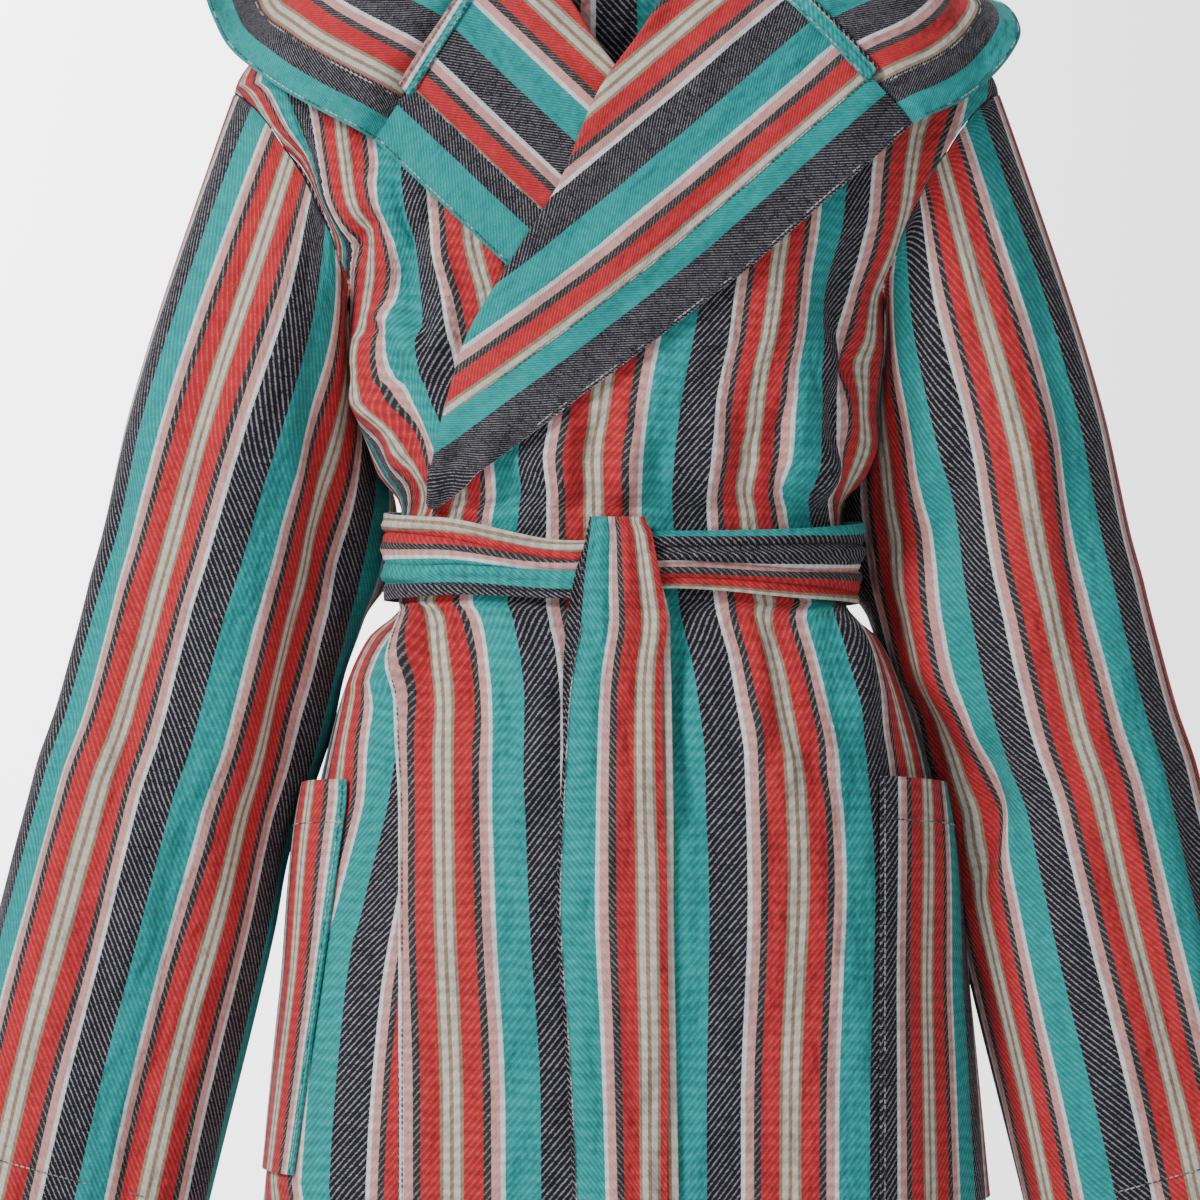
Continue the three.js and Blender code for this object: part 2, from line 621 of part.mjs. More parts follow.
function sleevePoint(side, turn, along, inset) {
  const folds = side > 0 ? SLEEVE_FOLDS.left : SLEEVE_FOLDS.right;
  const z = mix(SLEEVE[0].z, SLEEVE[SLEEVE.length - 1].z, along);
  const lift = sleeveFold(folds, turn, along) - inset;
  const out = (read(SLEEVE, "z", "half", z) + lift) * Math.cos(turn);
  const inwards = Math.max(0, -Math.cos(turn)) ** 2;
  const reach = read(SLEEVE, "z", side > 0 ? "reachLeft" : "reachRight", z + CUFF_SLOPE * out) * inwards;
  const ring = new THREE.Vector3(
    read(SLEEVE, "z", "x", z) + out - reach,
    read(SLEEVE, "z", "y", z) - (read(SLEEVE, "z", "depth", z) + lift) * Math.sin(turn) + REACH_BACKSET * reach,
    z + CUFF_SLOPE * out,
  );
  const point = armholePoint(side, turn, inset).lerp(ring, ease(along / SLEEVE_HEAD));
  return mirrored(point, side);
}

function sleeve(side) {
  const layer = (inset) => (i, j) => {
    const turn = (2 * Math.PI * i) / SLEEVE_SIDES;
    const along = (j / (SLEEVE_RINGS - 1)) ** SLEEVE_RING_BIAS;
    return sleevePoint(side, turn, along, inset);
  };
  const outer = grid(SLEEVE_SIDES, SLEEVE_RINGS, layer(0));
  const inner = grid(SLEEVE_SIDES, SLEEVE_RINGS, layer(WALL));
  return wall(outer, inner, true);
}

// Distance of a point outside the body form, near enough for small distances
function outside(point) {
  const z = clamp(point.z, HEM_Z, NECK_Z);
  const sine = (point.x - read(BODY, "z", "middle", z)) / read(BODY, "z", "half", z);
  const depth = read(BODY, "z", point.y < 0 ? "front" : "back", z);
  return Math.hypot(sine, point.y / (depth * (1 + FULLNESS * sine * sine))) - 1;
}

function pushClear(point, clearance) {
  for (let pass = 0; pass < CLEARING_PASSES; pass += 1) {
    const here = outside(point);
    const slope = new THREE.Vector3(
      outside(point.clone().setX(point.x + 1)) - here,
      outside(point.clone().setY(point.y + 1)) - here,
      outside(point.clone().setZ(point.z - 1)) - here,
    );
    slope.z *= -1;
    const steepness = slope.length();
    const missing = clearance - here / steepness;
    if (missing > 0) {
      point.addScaledVector(slope.normalize(), missing);
    }
  }
}

// Hood half: a curve from the neck seam over the fall line to the free edge, clear of the back
function hoodPoint(side, level, share, along) {
  const table = side > 0 ? HOOD.left : HOOD.right;
  const column = (name) => read(table, "share", name, share);
  const neckAngle = column("neck");
  const neck = form(neckAngle, NECK_Z).addScaledVector(formNormal(neckAngle, NECK_Z), HOOD_NECK_LEVEL);
  const seamShare = Math.max(0, 1 - share / HOOD_SEAM_BLEND);
  const seam = lapelPoint(1, level, 0, 1);
  neck.lerp(seam, seamShare);
  const fall = new THREE.Vector3(column("fallX"), column("fallY"), column("fallZ"));
  const edge = new THREE.Vector3(column("edgeX"), column("edgeY"), column("edgeZ"));
  fall.lerp(lapelPoint(1, level, 0.5, 1), seamShare ** 2);
  edge.lerp(lapelPoint(1, level, 1, 1), seamShare ** 2);
  const point = neck
    .multiplyScalar((1 - 2 * along) * (1 - along))
    .addScaledVector(fall, 4 * along * (1 - along))
    .addScaledVector(edge, along * (2 * along - 1));
  const overFront = LEVEL_TOP_FRONT * ease((HOOD_OVER_FRONT_END - share) / HOOD_OVER_FRONT_RUN);
  const clearance = mix(HOOD_NECK_LEVEL, HOOD_CLEARANCE + overFront, ease(along / HOOD_CLEAR_ALONG));
  pushClear(point, mix(0, clearance, ease(share / HOOD_CLEAR_SHARE)));
  point.x += SEAM_GAP / 2;
  return mirrored(point, side);
}

function hoodHalf(side, level) {
  const middle = grid(HOOD_COLUMNS, HOOD_ROWS, (i, j) => {
    const share = mix(HOOD_SEAM_SHARE, 1, i / (HOOD_COLUMNS - 1));
    return hoodPoint(side, level, share, (j / (HOOD_ROWS - 1)) ** HOOD_ROW_BIAS);
  });
  const offCentre = (point) => point.setX(side * Math.max(side * point.x, SEAM_GAP / 2));
  return wallAbout(middle, WALL, offCentre);
}

// Felled strip: lies on the seam between the lapel and the hood
function seamStrip(side, level) {
  const middle = grid(3, LAPEL_COLUMNS, (i, j) => {
    const seam = lapelPoint(side, level, mix(STRIP_START, STRIP_END, j / (LAPEL_COLUMNS - 1)), 1);
    const aside = (i - 1) * (STRIP_WIDTH / 2);
    seam.addScaledVector(STRIP_OUT, WALL / 2 + STRIP_WALL / 2 + STRIP_LIFT);
    return seam.add(new THREE.Vector3(side * STRIP_SLANT.x * aside, 0, STRIP_SLANT.z * aside));
  });
  return wallAbout(middle, STRIP_WALL);
}

// Patch pocket: made from the front's points, moved out, with its mouth standing open
function pocket(sizes, side, level) {
  const place = (i, j) => {
    const share = i / (POCKET_COLUMNS - 1);
    const down = j / (POCKET_ROWS - 1);
    const z = mix(sizes.top - sizes.dip * share, sizes.bottom, down);
    const start = angleAt(mix(sizes.frontTop, sizes.frontBottom, down), z);
    const angle = mix(start, sizes.rear, share);
    const bulge = Math.sin(Math.PI * share ** POCKET_MOUTH_SKEW);
    const open = sizes.mouth * bulge * ease(1 - down / POCKET_MOUTH_DEPTH);
    return { angle, z, lift: POCKET_LIFT + open };
  };
  const layer = (offset) => (i, j) => {
    const { angle, z, lift } = place(i, j);
    return bodyPoint(angle, z, level(angle, z) + WALL / 2 + lift + offset);
  };
  const outer = grid(POCKET_COLUMNS, POCKET_ROWS, layer(WALL));
  const inner = grid(POCKET_COLUMNS, POCKET_ROWS, layer(0));
  return wall(outer, inner);
}

// Belt: a flat band of doubled cloth round the waist, lifted where the tails pass behind it
function beltLevel(angle) {
  const turned = angle > 180 ? angle - 360 : angle;
  const edge = Math.abs(angleAt(read(FRONT_EDGE, "z", "x", WAIST_Z), WAIST_Z));
  const free = ease((Math.abs(turned) - edge - BELT_LAP_START) / LAP_RUN);
  const onFronts = mix(LEVEL_TOP_FRONT, LEVEL_UNDER_FRONT, free) + WALL / 2;
  const knot = KNOT_LIFT * Math.exp(-((turned / KNOT_ANGLE) ** 4));
  return onFronts + BELT_REST + knot;
}

function beltBand() {
  const layer = (offset) => (i, j) => {
    const angle = (360 * i) / BELT_COLUMNS - 180;
    const half = read(BELT, "angle", "half", angle);
    const z = read(BELT, "angle", "z", angle) + mix(half, -half, j / BELT_ROWS);
    const tuck = BELT_TUCK * Math.sin((Math.PI * j) / BELT_ROWS);
    const waist = form(angle, WAIST_Z);
    const point = waist.addScaledVector(formNormal(angle, WAIST_Z), beltLevel(angle) + tuck + offset);
    point.z = z;
    return point;
  };
  const outer = grid(BELT_COLUMNS, BELT_ROWS + 1, layer(BELT_WALL));
  const inner = grid(BELT_COLUMNS, BELT_ROWS + 1, layer(0));
  return wall(outer, inner, true);
}

function beltTail(rows) {
  const middle = grid(TAIL_COLUMNS + 1, rows.length, (i, j) => {
    const { z, level, x, width } = rows[j];
    const across = x + width * (i / TAIL_COLUMNS - 0.5);
    const near = Math.min(z, WAIST_Z);
    const base = form(angleAt(across, near), near);
    const cup = TAIL_CUP * Math.cos((2 * Math.PI * (i - TAIL_COLUMNS / 2)) / TAIL_COLUMNS);
    return new THREE.Vector3(across, base.y - level - cup, z);
  });
  return wallAbout(middle, BELT_WALL);
}

// The garment
const PIECES = [
  { name: "back", color: 0x4aa9a2, geometry: backPanel() },
  { name: "front_left", color: 0x3fa79f, geometry: frontPanel(1, topFrontLevel) },
  { name: "front_right", color: 0xc9463d, geometry: frontPanel(-1, () => LEVEL_UNDER_FRONT) },
  { name: "sleeve_left", color: 0x2f2c3c, geometry: sleeve(1) },
  { name: "sleeve_right", color: 0x39354a, geometry: sleeve(-1) },
  { name: "lapel_left", color: 0xd24c42, geometry: lapel(1, topLapelLevel) },
  { name: "lapel_right", color: 0x56b5ad, geometry: lapel(-1, underLapelLevel) },
  { name: "hood_left", color: 0xcfc7ba, geometry: hoodHalf(1, topLapelLevel) },
  { name: "hood_right", color: 0xe0a195, geometry: hoodHalf(-1, underLapelLevel) },
  { name: "seam_left", color: 0x45b0a8, geometry: seamStrip(1, topLapelLevel) },
  { name: "seam_right", color: 0xe7c4bb, geometry: seamStrip(-1, underLapelLevel) },
  { name: "pocket_left", color: 0xb63f38, geometry: pocket(POCKETS.left, 1, topFrontLevel) },
  { name: "pocket_right", color: 0xd9d2c6, geometry: pocket(POCKETS.right, -1, () => LEVEL_UNDER_FRONT) },
  { name: "belt_band", color: 0x3a9d96, geometry: beltBand() },
  { name: "belt_tail_front", color: 0xd6cfc3, geometry: beltTail(TAIL_FRONT) },
  { name: "belt_tail_back", color: 0x343043, geometry: beltTail(TAIL_BACK) },
];

const robe = new THREE.Group();
for (const { name, color, geometry } of PIECES) {
  const material = new THREE.MeshStandardMaterial({ color, roughness: 0.85, metalness: 0 });
  const mesh = new THREE.Mesh(geometry, material);
  mesh.name = name;
  robe.add(mesh);
}

export default robe;
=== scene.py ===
import math

import bpy
import numpy as np
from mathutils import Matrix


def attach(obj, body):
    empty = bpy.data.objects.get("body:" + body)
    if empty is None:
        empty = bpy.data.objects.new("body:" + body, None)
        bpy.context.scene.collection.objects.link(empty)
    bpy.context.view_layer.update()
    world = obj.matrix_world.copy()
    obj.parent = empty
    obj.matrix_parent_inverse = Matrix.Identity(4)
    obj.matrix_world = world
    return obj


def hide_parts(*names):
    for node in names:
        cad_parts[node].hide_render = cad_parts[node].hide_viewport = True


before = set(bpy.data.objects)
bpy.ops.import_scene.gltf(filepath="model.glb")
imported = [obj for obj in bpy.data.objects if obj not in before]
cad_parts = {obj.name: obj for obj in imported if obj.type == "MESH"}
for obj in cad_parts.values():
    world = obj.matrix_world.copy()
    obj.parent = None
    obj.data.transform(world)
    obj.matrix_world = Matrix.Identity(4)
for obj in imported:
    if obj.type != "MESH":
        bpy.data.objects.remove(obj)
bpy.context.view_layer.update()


# Camera: in front of the robe at chest height, level, far enough back for a flat view.
camera_data = bpy.data.cameras.new("camera")
camera_data.sensor_width = 36
camera_data.lens = 202.5
camera = bpy.data.objects.new("camera", camera_data)
camera.location = (-0.010, -4.10, -0.414)
camera.rotation_euler = (math.radians(90), 0, 0)
bpy.context.collection.objects.link(camera)
bpy.context.scene.camera = camera


# Studio: a plain pale floor that sweeps up behind into a backdrop, and soft light from the upper left.
FLOOR_Z = -1.45
FLOOR_REACH = 10.5
SWEEP_START = 5.5
SWEEP_HEIGHT = 9


def deselect():
    for thing in bpy.context.selected_objects:
        thing.select_set(False)


def plain_grid(name, columns, rows):
    """A grid piece whose vertices are then placed by a function; gives it with each vertex's shares."""
    deselect()
    bpy.ops.mesh.primitive_grid_add(x_subdivisions=columns, y_subdivisions=rows, size=2)
    piece = bpy.context.object
    piece.name = name
    piece.data.name = name
    flat = np.empty(len(piece.data.vertices) * 3)
    piece.data.vertices.foreach_get("co", flat)
    shares = (flat.reshape(-1, 3)[:, :2] + 1) / 2
    return piece, shares[:, 0], shares[:, 1]


def place(piece, points):
    piece.data.vertices.foreach_set("co", np.asarray(points, dtype=float).ravel())
    piece.data.update()


def table(columns, rows):
    """A short table: the names of its columns, then its rows."""
    return [dict(zip(columns.split(), row)) for row in rows]


floor, across, back = plain_grid("studio_floor", 2, 60)
distance = (back - 0.5) * 2 * FLOOR_REACH
rise = np.clip((distance - SWEEP_START) / 5, 0, 1)
place(floor, np.stack([
    (across - 0.5) * 2 * FLOOR_REACH,
    np.where(distance < SWEEP_START, distance, SWEEP_START + 4 * np.sin(rise * math.pi / 2)),
    FLOOR_Z + SWEEP_HEIGHT * (1 - np.cos(rise * math.pi / 2)),
], axis=1))
bpy.ops.object.shade_smooth()
floor_paint = bpy.data.materials.new("studio_floor")
floor_paint.use_nodes = True
floor_paint.node_tree.nodes["Principled BSDF"].inputs["Base Color"].default_value = (0.93, 0.93, 0.94, 1)
floor_paint.node_tree.nodes["Principled BSDF"].inputs["Roughness"].default_value = 0.9
floor.data.materials.append(floor_paint)

world = bpy.data.worlds.new("studio_world")
world.use_nodes = True
world.node_tree.nodes["Background"].inputs["Color"].default_value = (0.96, 0.98, 1, 1)
world.node_tree.nodes["Background"].inputs["Strength"].default_value = 0.36
bpy.context.scene.world = world

LIGHTS = table("name place aim size power", [
    ("key", (-2.3, -2.2, 1.5), (0, 0, -0.45), 1.0, 113),
    ("fill", (2.4, -2.8, 0.3), (0, 0, -0.5), 2.2, 7),
    ("wash", (-3.4, 5.4, 2.4), (-0.8, 9.2, 0.6), 2.5, 1150),
    ("rim", (0.5, 2.6, 1.8), (0, 0, -0.5), 1.5, 20),
])
for row in LIGHTS:
    lamp_data = bpy.data.lights.new(row["name"], "AREA")
    lamp_data.shape = "SQUARE"
    lamp_data.size = row["size"]
    lamp_data.energy = row["power"]
    lamp = bpy.data.objects.new(row["name"], lamp_data)
    lamp.location = row["place"]
    aim = np.array(row["aim"]) - np.array(row["place"])
    lamp.rotation_euler = (
        math.acos(-aim[2] / np.linalg.norm(aim)),
        0,
        math.atan2(aim[1], aim[0]) - math.pi / 2,
    )
    bpy.context.collection.objects.link(lamp)


# Back panel: one piece of striped cotton twill from the shoulder seams to the hem, with a sleeve sewn on at
# each armhole and a front at each side. It is cut straight on the warp and flares to the hem.
# Tables are in millimetres and degrees, as the solids are. Angles go round the wearer from the front.
WALL = 1.6
SEAM_GAP = 0.4
FULLNESS = 0.24
UNDER_FRONT = -WALL / 2
LEVEL_STEP = 3.8
UNDER_LAPEL = UNDER_FRONT + LEVEL_STEP
TOP_FRONT = UNDER_LAPEL + LEVEL_STEP
TOP_LAPEL = TOP_FRONT + LEVEL_STEP
NECK_Z = -8
SHOULDER_Z = -107
ARMPIT_Z = -234
WAIST_Z = -390
HEM_Z = -1190
BELT_CALM = 44

BODY = table("z half front back middle", [
    (-8, 80, 66, 62, 0),
    (-20, 118, 68, 66, 0),
    (-35, 155, 71, 70, 0),
    (-50, 182, 74, 74, 0),
    (-75, 211, 81, 82, 0),
    (-107, 232, 90, 90, 0),
    (-140, 233, 97, 95, 0),
    (-170, 223, 102, 98, 0),
    (-205, 195, 105, 101, 0),
    (-234, 163, 105, 101, 0),
    (-294, 153, 104, 99, 1),
    (-336, 147, 98, 94, 2),
    (-358, 134, 88, 85, 3),
    (-390, 132, 86, 83, 3),
    (-418, 134, 88, 85, 3),
    (-436, 154, 99, 98, 4),
    (-462, 167, 105, 108, 4),
    (-520, 184, 113, 121, 5),
    (-620, 203, 121, 129, 5),
    (-775, 219, 128, 134, 5),
    (-980, 240, 138, 142, 5),
    (-1190, 266, 152, 152, 5),
])
SIDE_SEAM = table("z angle", [
    (-234, 90),
    (-390, 96),
    (-520, 112),
    (-1190, 112),
])
ARMHOLE_SCOOP = 33
ARMHOLE_POWER = 0.8

# Large folds, as in the solids: angle, swing and width in degrees, from and to as heights
BODY_FOLDS = table("angle swing from to width height", [
    (-46, -20, -84, -236, 7, -7),
    (46, 20, -84, -236, 7, -7),
    (-66, -6, -246, -322, 13, 6),
    (-50, 8, -300, -372, 10, 6),
    (50, -8, -262, -370, 9, 6),
    (74, 4, -300, -368, 9, 5),
    (126, 6, -280, -370, 11, 7),
    (160, 4, -300, -372, 10, 6),
    (204, -6, -270, -370, 11, 7),
    (238, -2, -290, -370, 10, 6),
    (78, 0, -222, -352, 10, 7),
    (-78, 0, -222, -352, 10, 6),
    (-58, 2, -408, -540, 12, 8),
    (30, 2, -412, -640, 8, 4),
    (62, -2, -410, -500, 9, 5),
    (138, 4, -420, -1400, 9, 12),
    (166, 2, -412, -1400, 8, 9),
    (197, -3, -416, -1400, 9, 12),
    (226, -4, -420, -1400, 8, 10),
    (96, 2, -800, -1500, 9, 12),
    (64, 2, -820, -1500, 9, 9),
    (24, 2, -760, -1500, 9, 8),
    (-22, -2, -780, -1500, 8, 7),
    (-62, -3, -800, -1500, 9, 11),
    (-98, -2, -800, -1500, 9, 12),
])

# Creases: narrower soft ridges (height over 0) and troughs (under 0), each from one place to another
CREASES = table("from_x from_z to_x to_z width height", [
    # Wearer's right chest: pouch under the armhole, zigzag down to the belt, troughs beside the lapel
    (-139, -186, -158, -212, 8, -5),
    (-146, -160, -140, -196, 9, 4),
    (-118, -190, -116, -262, 9, -4),
    (-104, -200, -112, -275, 8, 3.5),
    (-142, -240, -121, -268, 8, 4),
    (-128, -276, -106, -330, 8, -4),
    (-148, -286, -128, -336, 8, 4),
    # Over the belt, in front
    (-86, -318, -94, -352, 7, -3.5),
    (-62, -318, -55, -356, 9, -4),
    (-74, -322, -72, -352, 7, 3),
    (-36, -296, -30, -356, 8, 3),
    (-14, -310, -16, -358, 7, -4),
    (2, -300, -2, -358, 8, 3.5),
    (24, -322, 30, -358, 7, -3),
    (52, -300, 48, -354, 9, 3),
    (76, -318, 70, -356, 7, -3.5),
    # Wearer's left chest: the fold that pinches the stripes, and its neighbours
    (128, -270, 112, -352, 9, 5),
    (140, -268, 128, -330, 8, -5),
    (143, -196, 134, -262, 9, -3),
    (96, -300, 98, -350, 7, -3),
    # Under the belt
    (-112, -412, -136, -470, 8, 3.5),
    (-96, -412, -108, -486, 7, -3),
    (-70, -410, -76, -500, 8, -3),
    (-54, -410, -58, -540, 9, 3),
    (-36, -410, -34, -480, 7, -2.5),
    (44, -414, 56, -560, 10, -3),
    (66, -412, 80, -500, 8, 3),
    (92, -410, 118, -520, 9, -3),
    (112, -412, 140, -490, 8, 3),
])
CREASE_DEPTH = 1.9
CREASE_BOW = 0.12
CREASE_FADE = 0.4
FOLD_FADE = 0.35
SIDE_CALM = 0.35
BACK_CREASES = table("from_x from_z to_x to_z width height", [
    (-150, -190, -120, -290, 11, -4),
    (148, -196, 124, -280, 11, -4),
    (-60, -290, -48, -352, 9, -4),
    (-28, -300, -34, -356, 8, 3.5),
    (12, -286, 8, -354, 9, -4),
    (54, -300, 58, -354, 9, 3.5),
    (92, -296, 84, -350, 8, -3.5),
    (-100, -412, -120, -520, 9, -3.5),
    (-30, -410, -34, -560, 9, 3),
    (6, -412, 4, -500, 8, -3.5),
    (62, -410, 72, -540, 9, -3),
    (104, -412, 124, -500, 9, 3),
])


def ease(value):
    t = np.clip(value, 0, 1)
    return t * t * (3 - 2 * t)


def mix(a, b, t):
    return a + (b - a) * t


def read(rows, key, name, at):
    """Smooth reading of one column of a table whose key column only rises or only falls."""
    keys = np.array([row[key] for row in rows], dtype=float)
    values = np.array([row[name] for row in rows], dtype=float)
    if keys[0] > keys[-1]:
        keys, values = keys[::-1], values[::-1]
    slopes = np.diff(values) / np.diff(keys)
    tangents = np.empty_like(values)
    tangents[0], tangents[-1] = slopes[0], slopes[-1]
    product = slopes[:-1] * slopes[1:]
    total = slopes[:-1] + slopes[1:]
    steady = product > 0
    tangents[1:-1] = np.where(steady, 2 * product / np.where(steady, total, 1), 0)
    at = np.clip(np.asarray(at, dtype=float), keys[0], keys[-1])
    k = np.clip(np.searchsorted(keys, at) - 1, 0, len(keys) - 2)
    span = keys[k + 1] - keys[k]
    t = (at - keys[k]) / span
    rest = 1 - t
    return (
        values[k] * (1 + 2 * t) * rest**2
        + values[k + 1] * (3 - 2 * t) * t**2
        + tangents[k] * span * t * rest**2
        - tangents[k + 1] * span * t**2 * rest
    )


def sine(degrees):
    return np.sin(np.radians(degrees))


def cosine(degrees):
    return np.cos(np.radians(degrees))


def unit(vectors):
    return vectors / np.maximum(np.linalg.norm(vectors, axis=-1, keepdims=True), 1e-9)


def form(angle, z):
    """Body form: an oval at each height, fuller than an ellipse."""
    angle, z = np.broadcast_arrays(np.asarray(angle, dtype=float), np.asarray(z, dtype=float))
    depth = np.where(cosine(angle) > 0, read(BODY, "z", "front", z), read(BODY, "z", "back", z))
    x = read(BODY, "z", "middle", z) + read(BODY, "z", "half", z) * sine(angle)
    y = -depth * cosine(angle) * (1 + FULLNESS * sine(angle) ** 2)
    return np.stack([x, y, z], axis=-1)


def form_normal(angle, z):
    low = np.maximum(z - 2, HEM_Z)
    high = np.minimum(z + 2, NECK_Z)
    around = form(angle + 0.5, z) - form(angle - 0.5, z)
    up = form(angle, high) - form(angle, low)
    return unit(np.cross(around, up))


def angle_at(x, z):
    share = (x - read(BODY, "z", "middle", z)) / read(BODY, "z", "half", z)
    return np.degrees(np.arcsin(np.clip(share, -1, 1)))


def crease_height(creases, x, z):
    """Sum of soft creases, each fading at its ends and a little uneven along its run."""
    height = np.zeros(np.broadcast(x, z).shape)
    for row in creases:
        run_x, run_z = row["to_x"] - row["from_x"], row["to_z"] - row["from_z"]
        length = math.hypot(run_x, run_z)
        along = ((x - row["from_x"]) * run_x + (z - row["from_z"]) * run_z) / length**2
        aside = ((x - row["from_x"]) * run_z - (z - row["from_z"]) * run_x) / length
        aside = aside + CREASE_BOW * length * np.sin(math.pi * along) * np.sign(row["height"])
        rise = ease(along / CREASE_FADE + 0.5) * ease((1 - along) / CREASE_FADE + 0.5)
        height += row["height"] * rise * np.exp(-((aside / row["width"]) ** 2))
    return height


def fold_height(folds, angle, place_along, fade):
    """Sum of soft folds, each running from one place to another and swinging round a little on the way."""
    height = np.zeros(np.broadcast(angle, place_along).shape)
    for row in folds:
        run = (place_along - row["from"]) / (row["to"] - row["from"])
        rise = ease(run / fade) * ease((1 - run) / fade)
        away = angle - row["angle"] - row["swing"] * np.clip(run, 0, 1)
        away = away - 360 * np.round(away / 360)
        height = height + row["height"] * rise * np.exp(-((away / row["width"]) ** 2))
    return height


def body_fold(angle, z):
    x = form(angle, z)[..., 0]
    in_front = cosine(angle) > 0
    fine = np.where(in_front, crease_height(CREASES, x, z), crease_height(BACK_CREASES, x, z))
    fine = CREASE_DEPTH * fine * ease(np.abs(cosine(angle)) / SIDE_CALM)
    near_belt = np.exp(-(((z - WAIST_Z) / BELT_CALM) ** 4))
    return (fold_height(BODY_FOLDS, angle, z, FOLD_FADE) + fine) * (1 - near_belt)


def body_point(angle, z, level):
    lift = level + body_fold(angle, z)
    return form(angle, z) + form_normal(angle, z) * lift[..., None]


def armhole_height(turn):
    return mix(SHOULDER_Z, ARMPIT_Z, (1 - np.cos(turn)) / 2)


def armhole_angle(turn):
    return 90 - ARMHOLE_SCOOP * np.abs(np.sin(turn)) ** ARMHOLE_POWER


SHOULDER_SHARE = 0.10
ARMHOLE_SHARE = 0.24
ROW_CROWDING = 1.12


def panel_height(share):
    """Height at each share of a panel's rows: shoulder seam, armhole in even steps of turn, then below."""
    in_armhole = np.clip((share - SHOULDER_SHARE) / (ARMHOLE_SHARE - SHOULDER_SHARE), 0, 1)
    below_armhole = np.clip((share - ARMHOLE_SHARE) / (1 - ARMHOLE_SHARE), 0, 1)
    upper = mix(NECK_Z, SHOULDER_Z, share / SHOULDER_SHARE)
    lower = mix(ARMPIT_Z, HEM_Z, below_armhole**ROW_CROWDING)
    z = np.where(share < SHOULDER_SHARE, upper, armhole_height(math.pi * in_armhole))
    return np.where(share > ARMHOLE_SHARE, lower, z)


def outer_angle(z, seam_side):
    """Angle of a panel's outer border: shoulder seam, armhole or side seam."""
    seam_turn = np.degrees(SEAM_GAP / 2 / read(BODY, "z", "front", z)) * seam_side
    turn = np.arccos(np.clip(1 - 2 * (SHOULDER_Z - z) / (SHOULDER_Z - ARMPIT_Z), -1, 1))
    armhole = armhole_angle(turn) if seam_side < 0 else 180 - armhole_angle(turn)
    side = read(SIDE_SEAM, "z", "angle", z) + seam_turn
    result = np.where(z > SHOULDER_Z - 0.01, 90 + seam_turn, armhole)
    return np.where(z < ARMPIT_Z + 0.01, side, result)


def arc_length(angle, z):
    """Distance round the form from the front centre line, at each height."""
    angle, z = np.broadcast_arrays(np.asarray(angle, dtype=float), np.round(z, 3))
    result = np.empty(angle.shape)
    turns = np.arange(0.0, 361.0)
    for height in np.unique(z):
        row = z == height
        points = form(turns, height)
        runs = np.concatenate([[0], np.cumsum(np.linalg.norm(np.diff(points, axis=0), axis=1))])
        result[row] = np.sign(angle[row]) * np.interp(np.abs(angle[row]), turns, runs)
    return result


def row_lengths(points, share, lines):
    """Length along each line of a placed grid from its first point; lines stays the same on one line."""
    order = np.lexsort((np.round(share, 6), np.round(lines, 6)))
    count = len(np.unique(np.round(share, 6)))
    rows = points[order].reshape(-1, count, 3)
    steps = np.linalg.norm(np.diff(rows, axis=1, prepend=rows[:, :1]), axis=2)
    result = np.empty(len(points))
    result[order] = np.cumsum(steps, axis=1).ravel()
    return result


def finish_sheet(piece, u, v, material, thickness=WALL, closed=False, band=None):
    """Gives a placed grid its cloth coordinates, closes a tube, adds the wall and turns faces outwards.

    A band is a turned hem with cloth coordinates of its own: those and which vertices are on it.
    """
    layer = piece.data.uv_layers[0]
    layer.name = "cloth"
    corners = np.empty(len(piece.data.loops), dtype=int)
    piece.data.loops.foreach_get("vertex_index", corners)
    across = u[corners]
    if band is not None:
        on_band = band[1][corners].reshape(-1, 4).all(axis=1).repeat(4)
        across = np.where(on_band, band[0][corners], across)
    layer.data.foreach_set("uv", np.stack([across, v[corners]], axis=1).ravel())
    deselect()
    piece.select_set(True)
    bpy.context.view_layer.objects.active = piece
    if closed:
        bpy.ops.object.mode_set(mode="EDIT")
        bpy.ops.mesh.select_all(action="SELECT")
        bpy.ops.mesh.remove_doubles(threshold=1e-6)
        bpy.ops.object.mode_set(mode="OBJECT")
    wall = piece.modifiers.new("wall", "SOLIDIFY")
    wall.thickness = thickness / 1000
    wall.offset = 0
    bpy.ops.object.modifier_apply(modifier="wall")
    count = len(piece.data.vertices)
    places = np.empty(count * 3)
    piece.data.vertices.foreach_get("co", places)
    places = places.reshape(-1, 3)
    piece.data.calc_loop_triangles()
    triangles = np.empty(len(piece.data.loop_triangles) * 3, dtype=int)
    piece.data.loop_triangles.foreach_get("vertices", triangles)
    a, b, c = places[triangles.reshape(-1, 3)].transpose(1, 0, 2)
    if np.einsum("ij,ij->i", a, np.cross(b, c)).sum() < 0:
        bpy.ops.object.mode_set(mode="EDIT")
        bpy.ops.mesh.select_all(action="SELECT")
        bpy.ops.mesh.flip_normals()
        bpy.ops.object.mode_set(mode="OBJECT")
    bpy.ops.object.shade_smooth_by_angle(angle=math.radians(50))
    piece.data.materials.append(material)


class Value:
    """One socket of a material, used as a number in Python expressions."""

    def __init__(self, paint, socket):
        self.paint = paint
        self.socket = socket

    def math(self, operation, *others):
        return self.paint.node("ShaderNodeMath", {"operation": operation}, dict(enumerate((self, *others))))

    def __add__(self, other):
        return self.math("ADD", other)

    def __mul__(self, other):
        return self.math("MULTIPLY", other)

    def __sub__(self, other):
        return self.math("SUBTRACT", other)

    __radd__ = __add__

    def between(self, low, high):
        """0 below low, 1 above high and smooth in between."""
        sockets = {"Value": self, "From Min": low, "From Max": high}
        return self.paint.node("ShaderNodeMapRange", {"interpolation_type": "SMOOTHSTEP"}, sockets)


